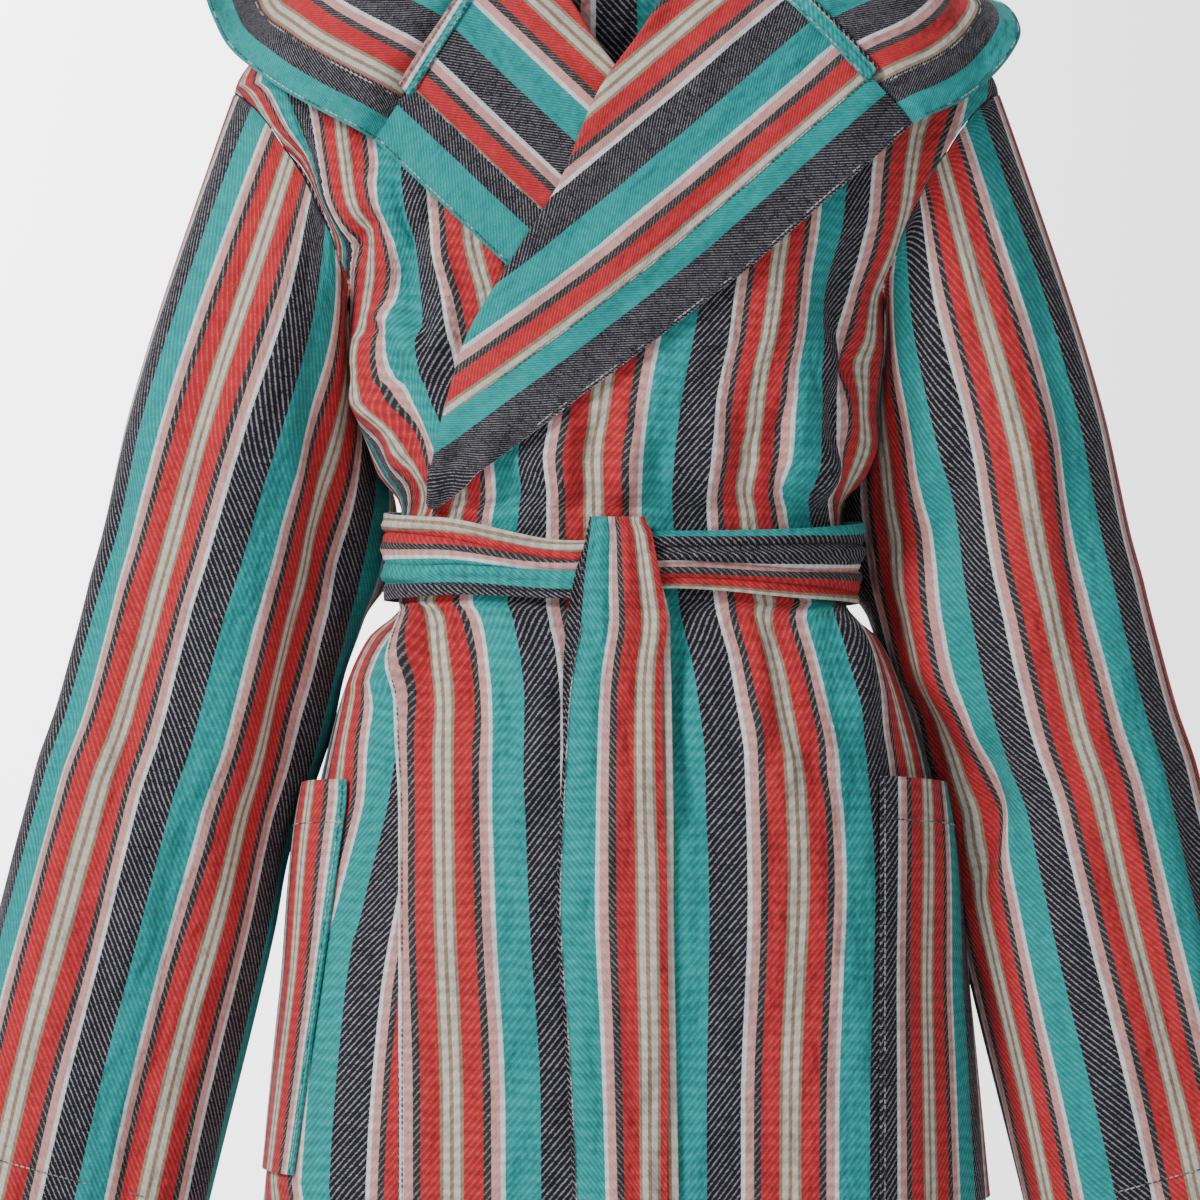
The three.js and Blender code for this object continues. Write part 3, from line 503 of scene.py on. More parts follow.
class Paint:
    """A material and its nodes."""

    def __init__(self, name):
        self.material = bpy.data.materials.new(name)
        self.material.use_nodes = True
        self.tree = self.material.node_tree
        self.shader = self.tree.nodes["Principled BSDF"]

    def node(self, kind, settings, sockets, output=0):
        """Adds a node of that type with its settings, then its sockets' values or links."""
        node = self.tree.nodes.new(kind)
        for name, value in settings.items():
            if name == "stops":
                ramp = node.color_ramp
                ramp.interpolation = "CONSTANT"
                for position, colour in value[1:-1]:
                    ramp.elements.new(position).color = colour
                ramp.elements[0].position, ramp.elements[0].color = value[0]
                ramp.elements[-1].position, ramp.elements[-1].color = value[-1]
            else:
                setattr(node, name, value)
        for name, value in sockets.items():
            if isinstance(value, Value):
                self.tree.links.new(value.socket, node.inputs[name])
            else:
                node.inputs[name].default_value = value
        return Value(self, node.outputs[output])

    def blend(self, kind, share, first, second):
        """Colours first and second, blended by share."""
        settings = {"data_type": "RGBA", "blend_type": kind}
        return self.node("ShaderNodeMix", settings, {0: share, 6: first, 7: second}, output=2)

    def set(self, name, value):
        if isinstance(value, Value):
            self.tree.links.new(value.socket, self.shader.inputs[name])
        else:
            self.shader.inputs[name].default_value = value


# One repeat of the stripes across the cloth: width in the photograph's proportions, colour, and how much
# of the pale weft shows in that stripe
REPEAT = 95
NAVY = (0.016, 0.015, 0.026)
TEAL = (0.010, 0.310, 0.305)
WHITE = (0.76, 0.75, 0.76)
PINK = (0.66, 0.33, 0.30)
GREY = (0.040, 0.036, 0.038)
RED = (0.52, 0.028, 0.034)
CREAM = (0.62, 0.58, 0.51)
TAN = (0.33, 0.235, 0.150)
STRIPES = table("width colour fleck", [
    (34, NAVY, 0.42),
    (32, TEAL, 0.16),
    (5, WHITE, 0.0),
    (8, PINK, 0.16),
    (7, GREY, 0.30),
    (18, RED, 0.10),
    (3.5, TAN, 0.1),
    (5.5, CREAM, 0.1),
    (4, TAN, 0.1),
    (5.5, CREAM, 0.1),
    (3.5, TAN, 0.1),
    (18, RED, 0.10),
    (7, GREY, 0.30),
    (8, PINK, 0.16),
    (5, WHITE, 0.0),
])
STRIPE_STARTS = np.cumsum([0] + [row["width"] for row in STRIPES])
STRIPE_SCALE = REPEAT / STRIPE_STARTS[-1]
NAVY_END = STRIPE_STARTS[1] * STRIPE_SCALE
TEAL_END = STRIPE_STARTS[2] * STRIPE_SCALE
WEFT = (0.62, 0.60, 0.60, 1)
TWILL_LEAN = 0.75


def twill(name, lean=1, line=3.6, weft=1.0, ripple=0.0):
    """Striped cotton twill on the cloth coordinates (metres across the stripes, metres along them)."""
    paint = Paint(name)
    place_on_cloth = paint.node("ShaderNodeUVMap", {"uv_map": "cloth"}, {})
    across = paint.node("ShaderNodeSeparateXYZ", {}, {0: place_on_cloth}) * 1000
    along = paint.node("ShaderNodeSeparateXYZ", {}, {0: place_on_cloth}, output=1) * 1000

    def noise(scale_across, scale_along, detail=1.0):
        sockets = {0: across * scale_across, 1: along * scale_along, 2: 0.37}
        spot = paint.node("ShaderNodeCombineXYZ", {}, sockets)
        sockets = {"Vector": spot, "Scale": 1.0, "Detail": detail}
        return paint.node("ShaderNodeTexNoise", {}, sockets)

    threads = noise(0.35, 1.9)
    edge = across + (threads - 0.5) * 1.1
    share = (edge * (1 / REPEAT)).math("FRACT")
    stops = []
    for start, row in zip(STRIPE_STARTS, STRIPES):
        stops.append((start * STRIPE_SCALE / REPEAT, (*row["colour"], row["fleck"])))
    ramp_colour = paint.node("ShaderNodeValToRGB", {"stops": stops}, {"Fac": share})
    ramp_fleck = Value(paint, ramp_colour.socket.node.outputs["Alpha"])

    lines = ((across + along * (TWILL_LEAN * lean)) * (2 * math.pi / line)).math("SINE") * 0.5 + 0.5
    dashes = noise(0.30, 1.5, detail=2.0)
    yarns = noise(1.6, 1.6, detail=2.0)
    weft_share = (dashes * 0.48 + lines * 0.42 + yarns * 0.36).between(0.68, 0.86)
    flecked = paint.blend("MIX", weft_share * ramp_fleck * weft, ramp_colour, WEFT)
    cloudy = noise(0.018, 0.012, detail=3.0)
    bars = (along * (2 * math.pi / 7.6) + noise(0.05, 0.02) * 9).math("SINE")
    mottled = noise(0.16, 0.34, detail=2.5)
    tone = 0.62 + cloudy * 0.24 + mottled * 0.52 + (lines - 0.5) * 0.09 + bars * ripple
    shade = paint.node("ShaderNodeCombineColor", {}, {0: tone, 1: tone, 2: tone})
    paint.set("Base Color", paint.blend("MULTIPLY", 1.0, flecked, shade))
    height = lines * 0.5 + yarns * 0.5 + dashes * 0.3
    crumple = noise(0.034, 0.016, detail=3.5)
    rumpled = paint.node("ShaderNodeBump", {}, {"Strength": 0.8, "Distance": 0.020, "Height": crumple})
    sockets = {"Strength": 0.6, "Distance": 0.00035, "Height": height, "Normal": rumpled}
    paint.set("Normal", paint.node("ShaderNodeBump", {}, sockets))
    paint.set("Roughness", 0.88)
    paint.set("Specular IOR Level", 0.15)
    paint.set("Sheen Weight", 0.05)
    paint.set("Sheen Roughness", 0.5)
    return paint.material


right_side_twill = twill("striped_twill", lean=1, ripple=0.12)

BACK_COLUMNS = 120
BACK_ROWS = 200
back_panel, share, down = plain_grid("back_panel", BACK_COLUMNS, BACK_ROWS)
z = panel_height(1 - down)
border = outer_angle(z, 1)
angle = mix(360 - border, border, share)
middle = body_point(angle, z, np.full(z.shape, -WALL / 2))
place(back_panel, middle / 1000)
half_back = arc_length(180 - border, z)
cloth_u = (share - 0.5) * 2 * half_back * 1.04 + NAVY_END / 2
finish_sheet(back_panel, cloth_u / 1000, z / 1000, right_side_twill)
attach(back_panel, "root")
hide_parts("back")


# Front panels: two pieces of the same twill, the wearer's left one lapped over the right one down to the hem.
# Each is sewn to the back at the shoulder and side; its edge is turned back as the lapel above the tip.
FRONT_EDGE = table("z x", [
    (-8, 77),
    (-30, 50),
    (-54, 29),
    (-78, 14),
    (-114, -11),
    (-168, -34),
    (-213, -62),
    (-264, -89),
    (-351, -109),
    (-436, -126),
    (-1190, -127),
])
LAPEL_TIP_Z = -351
ROLL_RADIUS = LEVEL_STEP / 2
ROLL_INSET = ROLL_RADIUS + WALL / 2
ROLL_GAP = 2.6
FRONT_COLUMNS = 130
FRONT_ROWS = 240
NECK_DROP_START = -75
NECK_DROP_RUN = 45
LAP_COVER = 15
LAP_MARGIN = 4
LAP_SLOPE = 22
TRIM_START = 20
TRIM_RUN = 12

# X of the start of each repeat of the stripes (the white line after the navy) at each height
TOP_STRIPES = table("z first second third fourth", [
    (-100, -110, 6, 96, 166),
    (-156, -110, -2, 84, 152),
    (-192, -110, -14, 76, 149),
    (-234, -112, -24, 68, 139),
    (-258, -114, -32, 65, 134),
    (-282, -114, -36, 60, 129),
    (-306, -112, -39, 56, 128),
    (-330, -109, -43, 54, 126),
    (-348, -108, -41, 52, 121),
    (-420, -126, -41, 57, 134),
    (-450, -127, -35, 65, 144),
    (-474, -126, -33, 69, 151),
    (-510, -127, -33, 74, 160),
    (-594, -128, -30, 76, 167),
    (-714, -126, -22, 72, 165),
    (-1190, -126, -20, 76, 172),
])
UNDER_STRIPES = table("z first second third fourth", [
    (-60, -262, -205, -138, -52),
    (-108, -229, -188, -122, -40),
    (-132, -214, -185, -115, -34),
    (-153, -194, -181, -114, -32),
    (-174, -183, -177, -113, -30),
    (-204, -172, -163, -110, -26),
    (-234, -170, -160, -102, -18),
    (-264, -168, -157, -98, -12),
    (-294, -166, -151, -93, -6),
    (-324, -160, -138, -83, 2),
    (-354, -150, -126, -73, 10),
    (-420, -170, -154, -100, -8),
    (-474, -196, -166, -105, -10),
    (-534, -212, -179, -118, -22),
    (-594, -222, -193, -131, -36),
    (-654, -230, -204, -141, -46),
    (-744, -238, -212, -148, -52),
    (-1190, -262, -228, -160, -62),
])
REPEATS = ("first", "second", "third", "fourth")


def neck_drop(z):
    return ease((z - NECK_DROP_START) / NECK_DROP_RUN)


def top_front_level(angle, z):
    """The lapping front and its lapel come down to the form at the neck and past the edge underneath."""
    edge_x = read(FRONT_EDGE, "z", "x", z)
    covered = np.maximum(angle_at(-edge_x, z), angle_at(edge_x, z) + LAP_COVER)
    free = ease((angle - covered - LAP_MARGIN) / LAP_SLOPE)
    return mix(TOP_FRONT, UNDER_FRONT, np.maximum(free, neck_drop(z)))


def under_front_level(angle, z):
    return np.full(np.broadcast(angle, z).shape, UNDER_FRONT)


def placed_stripes(stripe_rows, angle, z):
    """Cloth coordinate across the stripes: read from the table in front, one to one round the sides."""
    around = arc_length(angle, z)
    result = np.empty_like(around)
    turns = -REPEAT * np.arange(len(REPEATS))
    heights = np.round(z, 3)
    for height in np.unique(heights):
        row = heights == height
        starts = np.array([float(read(stripe_rows, "z", name, height)) for name in REPEATS])
        known = arc_length(angle_at(starts, height), np.full(len(REPEATS), height))
        here = around[row]
        value = np.interp(here, known, turns)
        value = np.where(here < known[0], turns[0] + known[0] - here, value)
        result[row] = np.where(here > known[-1], turns[-1] - here + known[-1], value)
    return result


def front_start(side, z):
    lean = (read(FRONT_EDGE, "z", "x", z + 2) - read(FRONT_EDGE, "z", "x", z - 2)) / 4
    trim = (ROLL_INSET + ROLL_GAP) * np.hypot(1, lean) * ease((z - LAPEL_TIP_Z + TRIM_START) / TRIM_RUN)
    return angle_at(side * (read(FRONT_EDGE, "z", "x", z) + trim), z) * side


thread = Paint("sewing_thread")
thread_place = thread.node("ShaderNodeTexCoord", {}, {}, output=3)
thread_tone = thread.node("ShaderNodeTexNoise", {}, {"Vector": thread_place, "Scale": 90.0, "Detail": 1.0})
THREAD_DARK = (0.06, 0.06, 0.07, 1)
THREAD_PALE = (0.50, 0.48, 0.46, 1)
thread.set("Base Color", thread.blend("MIX", thread_tone.between(0.42, 0.58), THREAD_DARK, THREAD_PALE))
thread.set("Roughness", 0.8)

STITCH_CELLS = 4
STITCH_WIDTH = 0.8
STITCH_HEIGHT = 0.35
STITCH_PITCH = 3.4
STITCH_WALL = 0.3
STITCH_LIFT = 0.2
TIP_HEIGHT = 0.2
TIP_WIDTH = 0.5
EDGE_STITCH = 2.5
HEM_STITCH = 25
FORWARDS = (0, -1, 0)


def stitches(name, node, points, lines, inwards, distance, towards, keep=None, lift=WALL / 2):
    """A row of small stitches on a placed grid, that distance inwards on each of its kept lines."""
    path, aside = [], []
    for line in np.unique(np.round(lines if keep is None else lines[keep], 6)):
        row = np.flatnonzero(np.abs(lines - line) < 1e-5)
        row = row[np.argsort(inwards[row], kind="stable")]
        path.append([np.interp(distance, inwards[row], points[row, k]) for k in range(3)])
        aside.append([np.interp(distance + 1.5, inwards[row], points[row, k]) for k in range(3)])
    path = np.array(path)
    aside = unit(np.array(aside) - path)
    out = unit(np.cross(np.gradient(path, axis=0), aside))
    out *= np.sign(out @ np.array(towards, dtype=float))[:, None]
    runs = np.concatenate([[0], np.cumsum(np.linalg.norm(np.diff(path, axis=0), axis=1))])
    count = int(runs[-1] / STITCH_PITCH)
    piece, share, across = plain_grid(name, count * STITCH_CELLS, 2)
    corners = np.empty(len(piece.data.loops), dtype=int)
    piece.data.loops.foreach_get("vertex_index", corners)
    face_share = share[corners].reshape(-1, 4).mean(axis=1)
    cell = np.floor(face_share * count * STITCH_CELLS).astype(int) % STITCH_CELLS
    step = np.round(share * count * STITCH_CELLS).astype(int) % STITCH_CELLS
    tip = (step == 0) | (step == STITCH_CELLS - 1)

    def along(values):
        return np.stack([np.interp(share * runs[-1], runs, values[:, k]) for k in range(3)], axis=1)

    height = lift + STITCH_LIFT + STITCH_HEIGHT * np.where(tip, TIP_HEIGHT, 1) * (1 - np.abs(across - 0.5))
    width = STITCH_WIDTH * np.where(tip, TIP_WIDTH, 1) * (across - 0.5)
    place(piece, (along(path) + along(out) * height[:, None] + along(aside) * width[:, None]) / 1000)
    bpy.ops.object.mode_set(mode="EDIT")
    bpy.ops.mesh.select_mode(type="FACE")
    bpy.ops.mesh.select_all(action="DESELECT")
    bpy.ops.object.mode_set(mode="OBJECT")
    piece.data.polygons.foreach_set("select", cell == STITCH_CELLS - 1)
    bpy.ops.object.mode_set(mode="EDIT")
    bpy.ops.mesh.delete(type="FACE")
    bpy.ops.mesh.select_mode(type="VERT")
    bpy.ops.object.mode_set(mode="OBJECT")
    wall = piece.modifiers.new("wall", "SOLIDIFY")
    wall.thickness = STITCH_WALL / 1000
    wall.offset = 0
    bpy.ops.object.modifier_apply(modifier="wall")
    bpy.ops.object.shade_smooth_by_angle(angle=math.radians(60))
    piece.data.materials.append(thread.material)
    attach(piece, "root")
    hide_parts(node)


def sided(word, side):
    return word + ("_left" if side > 0 else "_right")


def front_panel(side, level, stripe_rows):
    name, slot, node = sided("front_panel", side), "striped_cotton", sided("front", side)
    piece, share, down = plain_grid(name, FRONT_COLUMNS, FRONT_ROWS)
    z = panel_height(1 - down)
    angle = side * mix(front_start(side, z), outer_angle(z, -1), share)
    points = body_point(angle, z, level(angle, z))
    place(piece, points / 1000)
    across = placed_stripes(stripe_rows, angle, z)
    finish_sheet(piece, across / 1000, z / 1000, right_side_twill)
    inwards = row_lengths(points, share, down)
    below = z < LAPEL_TIP_Z - 14
    stitches(name + "_edge_stitches", node, points, down, inwards, EDGE_STITCH, FORWARDS, below)
    upwards = row_lengths(points, down, share)
    stitches(name + "_hem_stitches", node, points, share, upwards, HEM_STITCH, FORWARDS)
    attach(piece, "root")
    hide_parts(node)


front_panel(1, top_front_level, TOP_STRIPES)
front_panel(-1, under_front_level, UNDER_STRIPES)


# Sleeves: a tube each of the same twill, sewn into the armhole, wide and straight to an open cuff.
# The stripes run lengthways; the underarm seam lies on the inner line.
SLEEVE = table("z x half y depth reach", [
    (-190, 210, 50, 0, 57, 0),
    (-234, 220, 53, 0, 57, 0),
    (-294, 229, 62, -1, 57, 8),
    (-330, 233, 66, -2, 56, 20),
    (-354, 236, 68, -2, 55, 32),
    (-392, 242, 70, -3, 54, 36),
    (-426, 249, 72, -4, 53, 20),
    (-462, 258, 72, -6, 52, 15),
    (-500, 269, 71.5, -8, 51, 17),
    (-536, 281, 71.5, -10, 51, 16),
    (-594, 292, 75, -13, 51, 11),
    (-700, 315, 78, -19, 52, 6),
    (-784, 331, 80, -23, 53, 0),
])
REACH_BACKSET = 1.25
CUFF_SLOPE = 0.266
SLEEVE_HEAD = 0.24
SLEEVE_COLUMNS = 130
SLEEVE_ROWS = 160
SLEEVE_LENGTH = 0.62
SLEEVE_FADE = 0.3
SHIFT_END = 0.45

# Angle round the sleeve from its outer line through the front; from and to as shares of its length
SLEEVE_FOLDS = {
    1: table("angle swing from to width height", [
        (62, 60, 0.1, 0.62, 20, 7),
        (150, -20, 0.42, 0.62, 22, -8),
        (110, 14, 0.6, 1.3, 22, 6),
        (292, -30, 0.2, 0.7, 20, 6),
        (235, 20, 0.4, 1.3, 22, 6),
        (84, 44, 0.02, 0.3, 17, 6),
    ]),
    -1: table("angle swing from to width height", [
        (100, 24, 0.14, 0.8, 18, 6),
        (50, 10, 0.45, 1.3, 20, 5),
        (250, -30, 0.15, 0.75, 20, 7),
        (300, 10, 0.5, 1.3, 22, 5),
        (88, 40, 0.02, 0.3, 17, 6),
    ]),
}
SLEEVE_CREASES = {
    1: table("angle swing from to width height", [
        (95, 30, 0.06, 0.4, 9, -3),
        (48, 26, 0.12, 0.5, 9, -2.5),
        (128, 12, 0.28, 0.52, 10, 4),
        (118, 30, 0.48, 0.66, 8, -4),
        (84, -16, 0.55, 0.95, 9, -3),
        (36, 8, 0.5, 1.2, 10, -2.5),
        (262, -18, 0.3, 0.7, 10, -4),
        (215, 24, 0.5, 1.1, 10, -3),
        (310, 10, 0.1, 0.6, 10, -3),
    ]),
    -1: table("angle swing from to width height", [
        (78, -14, 0.08, 0.5, 9, -3),
        (126, 14, 0.12, 0.6, 9, -3.5),
        (60, 22, 0.3, 0.9, 9, -2.5),
        (112, 6, 0.55, 1.2, 10, -3),
        (30, 6, 0.2, 0.8, 9, -2.5),
        (262, -18, 0.3, 0.8, 10, -4),
        (220, 20, 0.4, 1.1, 10, -3),
        (305, 12, 0.2, 0.9, 10, -3),
    ]),
}


def armhole_point(side, turn, inset):
    z = armhole_height(turn)
    angle = np.where(np.sin(turn) < 0, 180 - armhole_angle(turn), armhole_angle(turn))
    point = form(angle, z) + form_normal(angle, z) * body_fold(side * angle, z)[..., None]
    top, bottom = form(90, SHOULDER_Z), form(90, ARMPIT_Z)
    outward = unit(np.array([top[2] - bottom[2], 0, bottom[0] - top[0]]))
    to_middle = unit((top + bottom) / 2 - point)
    return point + outward * SEAM_GAP + to_middle * inset


def sleeve_point(side, turn, along, inset, folded=1.0):
    z = mix(SLEEVE[0]["z"], SLEEVE[-1]["z"], along)
    folds = fold_height(SLEEVE_FOLDS[side], np.degrees(turn), along, SLEEVE_FADE)
    creases = fold_height(SLEEVE_CREASES[side], np.degrees(turn), along, SLEEVE_FADE)
    lift = (folds + CREASE_DEPTH * creases) * folded - inset
    out = (read(SLEEVE, "z", "half", z) + lift) * np.cos(turn)
    reach = read(SLEEVE, "z", "reach", z + CUFF_SLOPE * out) * np.maximum(0, -np.cos(turn)) ** 2
    depth = read(SLEEVE, "z", "depth", z) + lift
    ring = np.stack([
        read(SLEEVE, "z", "x", z) + out - reach,
        read(SLEEVE, "z", "y", z) - depth * np.sin(turn) + REACH_BACKSET * reach,
        z + CUFF_SLOPE * out,
    ], axis=-1)
    head = ease(along / SLEEVE_HEAD)[..., None]
    point = mix(armhole_point(side, turn, inset), ring, head)
    point[..., 0] *= side
    return point


def sleeve(side, cloth, stripe_start, stretch, head_shift):
    name, slot, node = sided("sleeve_tube", side), "striped_cotton", sided("sleeve", side)
    piece, share, down = plain_grid(name, SLEEVE_COLUMNS, SLEEVE_ROWS)
    turn = (share * 2 - 1) * math.pi * -side
    along = (1 - down) ** 1.15
    points = sleeve_point(side, turn, along, WALL / 2)
    place(piece, points / 1000)
    smooth = sleeve_point(side, turn, along, WALL / 2, folded=0.0)
    around = row_lengths(smooth, share, down)
    rings = np.unique(down)
    outer_line = np.abs(share - 0.5) < 1e-6
    halfway = [around[outer_line & (np.abs(down - ring) < 1e-6)][0] for ring in rings]
    around = (np.interp(down, rings, halfway) - around) * side
    across = (around * stretch - stripe_start - head_shift * (1 - ease(along / SHIFT_END))) / 1000
    finish_sheet(piece, across, along * -SLEEVE_LENGTH, cloth, closed=True)
    upwards = row_lengths(points, down, share)
    stitches(name + "_cuff_stitches", node, points, share, upwards, HEM_STITCH, (side, -0.2, 0))
    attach(piece, "root")
    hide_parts(node)


left_sleeve_twill = twill("striped_twill_sleeve_left", lean=-1, ripple=0.04)
right_sleeve_twill = twill("striped_twill_sleeve_right", lean=1, ripple=0.04)
sleeve(1, left_sleeve_twill, 25, 1.04, 0)
sleeve(-1, right_sleeve_twill, 3, 1.06, 21)


# Lapels: the fronts' own cloth rolled back at the neck edge, so the wrong side shows, with a turned hem
# along the outer edge. The stripes run along that edge.
LAPEL_TIP = (-103, -353)
LAPEL_TOP_INNER = (66, -17)
LAPEL_TOP_OUTER = {1: (172, -132), -1: (142, -142)}
LAPEL_BOW = 8
LAPEL_SPRING = 2.5
LAPEL_REST = 0.4
LAPEL_COLUMNS = 84
LAPEL_ROWS = 110
HEM_BAND = 37
UNDER_HEM_BAND = 38
BAND_RISE = 1.0
BAND_SPLIT = 0.3
BAND_LIMIT = 0.8
ROLL_SHARE = 0.10
EDGE_ROW = 2.0
BAND_ROW = 1.5


def top_lapel_level(z):
    return mix(TOP_LAPEL, UNDER_LAPEL, neck_drop(z))


def under_lapel_level(z):
    return np.full(np.shape(z), UNDER_LAPEL)


def lapel_place(side, along):
    roll_z = mix(LAPEL_TIP_Z + 2, LAPEL_TOP_INNER[1], along)
    roll = np.stack([read(FRONT_EDGE, "z", "x", roll_z), roll_z], axis=-1)
    above = np.stack([read(FRONT_EDGE, "z", "x", roll_z + 4), roll_z + 4], axis=-1)
    away = unit(np.stack([-(above[..., 1] - roll[..., 1]), above[..., 0] - roll[..., 0]], axis=-1))
    edge = np.stack([
        mix(LAPEL_TIP[0], LAPEL_TOP_OUTER[side][0], along),
        mix(LAPEL_TIP[1], LAPEL_TOP_OUTER[side][1], along) - LAPEL_BOW * np.sin(math.pi * along),
    ], axis=-1)
    return roll - away * ROLL_INSET, away, edge


def lapel_flat(side, share, along):
    roll, away, edge = lapel_place(side, along)
    return mix(roll, edge, share[..., None])


def lapel_point(side, level, share, along, lift=0.0):
    flat = lapel_flat(side, share, along)
    spring = LAPEL_REST * ease(share / 0.2) + LAPEL_SPRING * share**2 * ease((along - 0.5) / 0.5)
    x, z = flat[..., 0], flat[..., 1]
    return body_point(angle_at(side * x, z), z, level(z) + spring + lift)


def edge_distance(side, share, along):
    """Distance square in from the lapel's outer edge, and the length of that edge."""
    steps = np.linspace(0, 1, 160)
    line = lapel_flat(side, np.ones_like(steps), steps)
    square = unit(np.gradient(line, axis=0)) @ np.array([[0, -1], [1, 0]])
    flat = lapel_flat(side, share, along)
    nearest = np.linalg.norm(flat[..., None, :] - line, axis=-1).argmin(axis=-1)
    length = np.linalg.norm(np.diff(line, axis=0), axis=1).sum()
    return np.abs(np.sum((flat - line[nearest]) * square[nearest], axis=-1)), length


def banded(at, profile, band):
    """Shares along one grid line from its outer edge, with share BAND_SPLIT on the band's edge."""
    profile = np.maximum.accumulate(profile)
    target = np.interp(at, [0, BAND_SPLIT, 1], [0, min(band, BAND_LIMIT * profile[-1]), profile[-1]])
    return np.interp(target, profile, np.linspace(0, 1, len(profile)))


def lapel(side, level, band, stripes):
    name, slot, node = sided("lapel_turned", side), "striped_cotton_reverse", sided("lapel", side)
    piece, share, down = plain_grid(name, LAPEL_COLUMNS, LAPEL_ROWS)
    along = down**1.3
    flap_share = np.clip((share - ROLL_SHARE) / (1 - ROLL_SHARE), 0, 1)
    samples = np.linspace(1, 0, 60)
    for line in np.unique(down):
        row = down == line
        profile = edge_distance(side, samples, np.full(60, line**1.3))[0]
        flap_share[row] = 1 - banded(1 - flap_share[row], profile, band)
    inwards, edge_length = edge_distance(side, flap_share, along)
    on_band = inwards < band + 0.05
    hem = np.where(on_band, BAND_RISE, 0)
    flap = lapel_point(side, level, flap_share, along, hem)
    roll, away, edge = lapel_place(side, along)
    turn = np.radians(mix(-90, 90, np.clip(share / ROLL_SHARE, 0, 1)))
    rolled = roll + away * (ROLL_RADIUS * np.cos(turn))[..., None]
    height = level(rolled[..., 1]) - ROLL_RADIUS + ROLL_RADIUS * np.sin(turn)
    bend = body_point(angle_at(side * rolled[..., 0], rolled[..., 1]), rolled[..., 1], height)
    points = np.where((share < ROLL_SHARE)[:, None], bend, flap)
    place(piece, points / 1000)
    inwards = inwards + np.maximum(ROLL_SHARE - share, 0) / ROLL_SHARE * math.pi * ROLL_RADIUS
    flat, turned = stripes(inwards)
    finish_sheet(piece, flat / 1000, along * edge_length / 1000, reverse_twill, band=(turned / 1000, on_band))
    wide = down > 0.3
    for tag, distance in (("_edge_stitches", EDGE_ROW), ("_hem_stitches", band - BAND_ROW)):
        stitches(name + tag, node, points, down, inwards, distance, FORWARDS, wide)
    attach(piece, "root")
    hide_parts(node)


def top_lapel_stripes(inwards):
    return NAVY_END + 83 - inwards, inwards * 0.88


def under_lapel_stripes(inwards):
    return inwards - 60, TEAL_END - 0.8 - inwards * 0.72


reverse_twill = twill("striped_twill_reverse", lean=1, line=1.8, weft=0.9)
lapel(1, top_lapel_level, HEM_BAND, top_lapel_stripes)
lapel(-1, under_lapel_level, UNDER_HEM_BAND, under_lapel_stripes)


# Hood: two halves of the twill sewn together at the centre back, lying open on the shoulders with the
# wrong side up, and a turned hem along the face edge that runs on from the lapel's.
HOOD = {
    1: table("share neck fall_x fall_y fall_z edge_x edge_y edge_z", [
        (0, 52, 122, -72, -66, 172, -82, -130),
        (0.12, 64, 143, -56, -32, 213, -66, -112),
        (0.28, 82, 150, -12, -20, 243, -28, -72),
        (0.45, 104, 145, 42, -24, 234, 28, -50),
        (0.64, 130, 126, 112, -168, 186, 98, -42),
        (0.82, 155, 74, 138, -262, 112, 140, -42),
        (1, 180, 0, 142, -290, 0, 154, -50),
    ]),
    -1: table("share neck fall_x fall_y fall_z edge_x edge_y edge_z", [
        (0, 52, 106, -76, -72, 142, -90, -142),
        (0.12, 64, 143, -56, -32, 208, -66, -104),
        (0.28, 82, 150, -12, -20, 237, -28, -76),
        (0.45, 104, 145, 42, -24, 252, 24, -40),
        (0.64, 130, 126, 112, -168, 200, 98, -34),
        (0.82, 155, 74, 138, -262, 116, 140, -42),
        (1, 180, 0, 142, -290, 0, 154, -50),
    ]),
}
HOOD_NECK_LEVEL = 1.7
HOOD_CLEARANCE = 9
CLEARING_PASSES = 8
HOOD_SEAM_SHARE = 0.012
HOOD_COLUMNS = 100
HOOD_ROWS = 90
HOOD_LENGTH = 0.5
HOOD_SAMPLES = 90
UPWARDS = (0, -0.3, 1)


def grid_normals(points, share, down):
    order = np.lexsort((np.round(share, 6), np.round(down, 6)))
    rows = points[order].reshape(-1, len(np.unique(np.round(share, 6))), 3)
    result = np.empty_like(points)
    result[order] = unit(np.cross(np.gradient(rows, axis=1), np.gradient(rows, axis=0))).reshape(-1, 3)
    return result


def outside(point):
    z = np.clip(point[..., 2], HEM_Z, NECK_Z)
    share = (point[..., 0] - read(BODY, "z", "middle", z)) / read(BODY, "z", "half", z)
    depth = np.where(point[..., 1] < 0, read(BODY, "z", "front", z), read(BODY, "z", "back", z))
    return np.hypot(share, point[..., 1] / (depth * (1 + FULLNESS * share**2))) - 1


def push_clear(point, clearance):
    point = point.copy()
    for turn in range(CLEARING_PASSES):
        here = outside(point)
        slope = np.stack([
            outside(point + np.array([1, 0, 0])) - here,
            outside(point + np.array([0, 1, 0])) - here,
            here - outside(point - np.array([0, 0, 1])),
        ], axis=-1)
        steepness = np.maximum(np.linalg.norm(slope, axis=-1), 1e-9)
        missing = np.maximum(clearance - here / steepness, 0)
        point += slope / steepness[..., None] * missing[..., None]
    return point


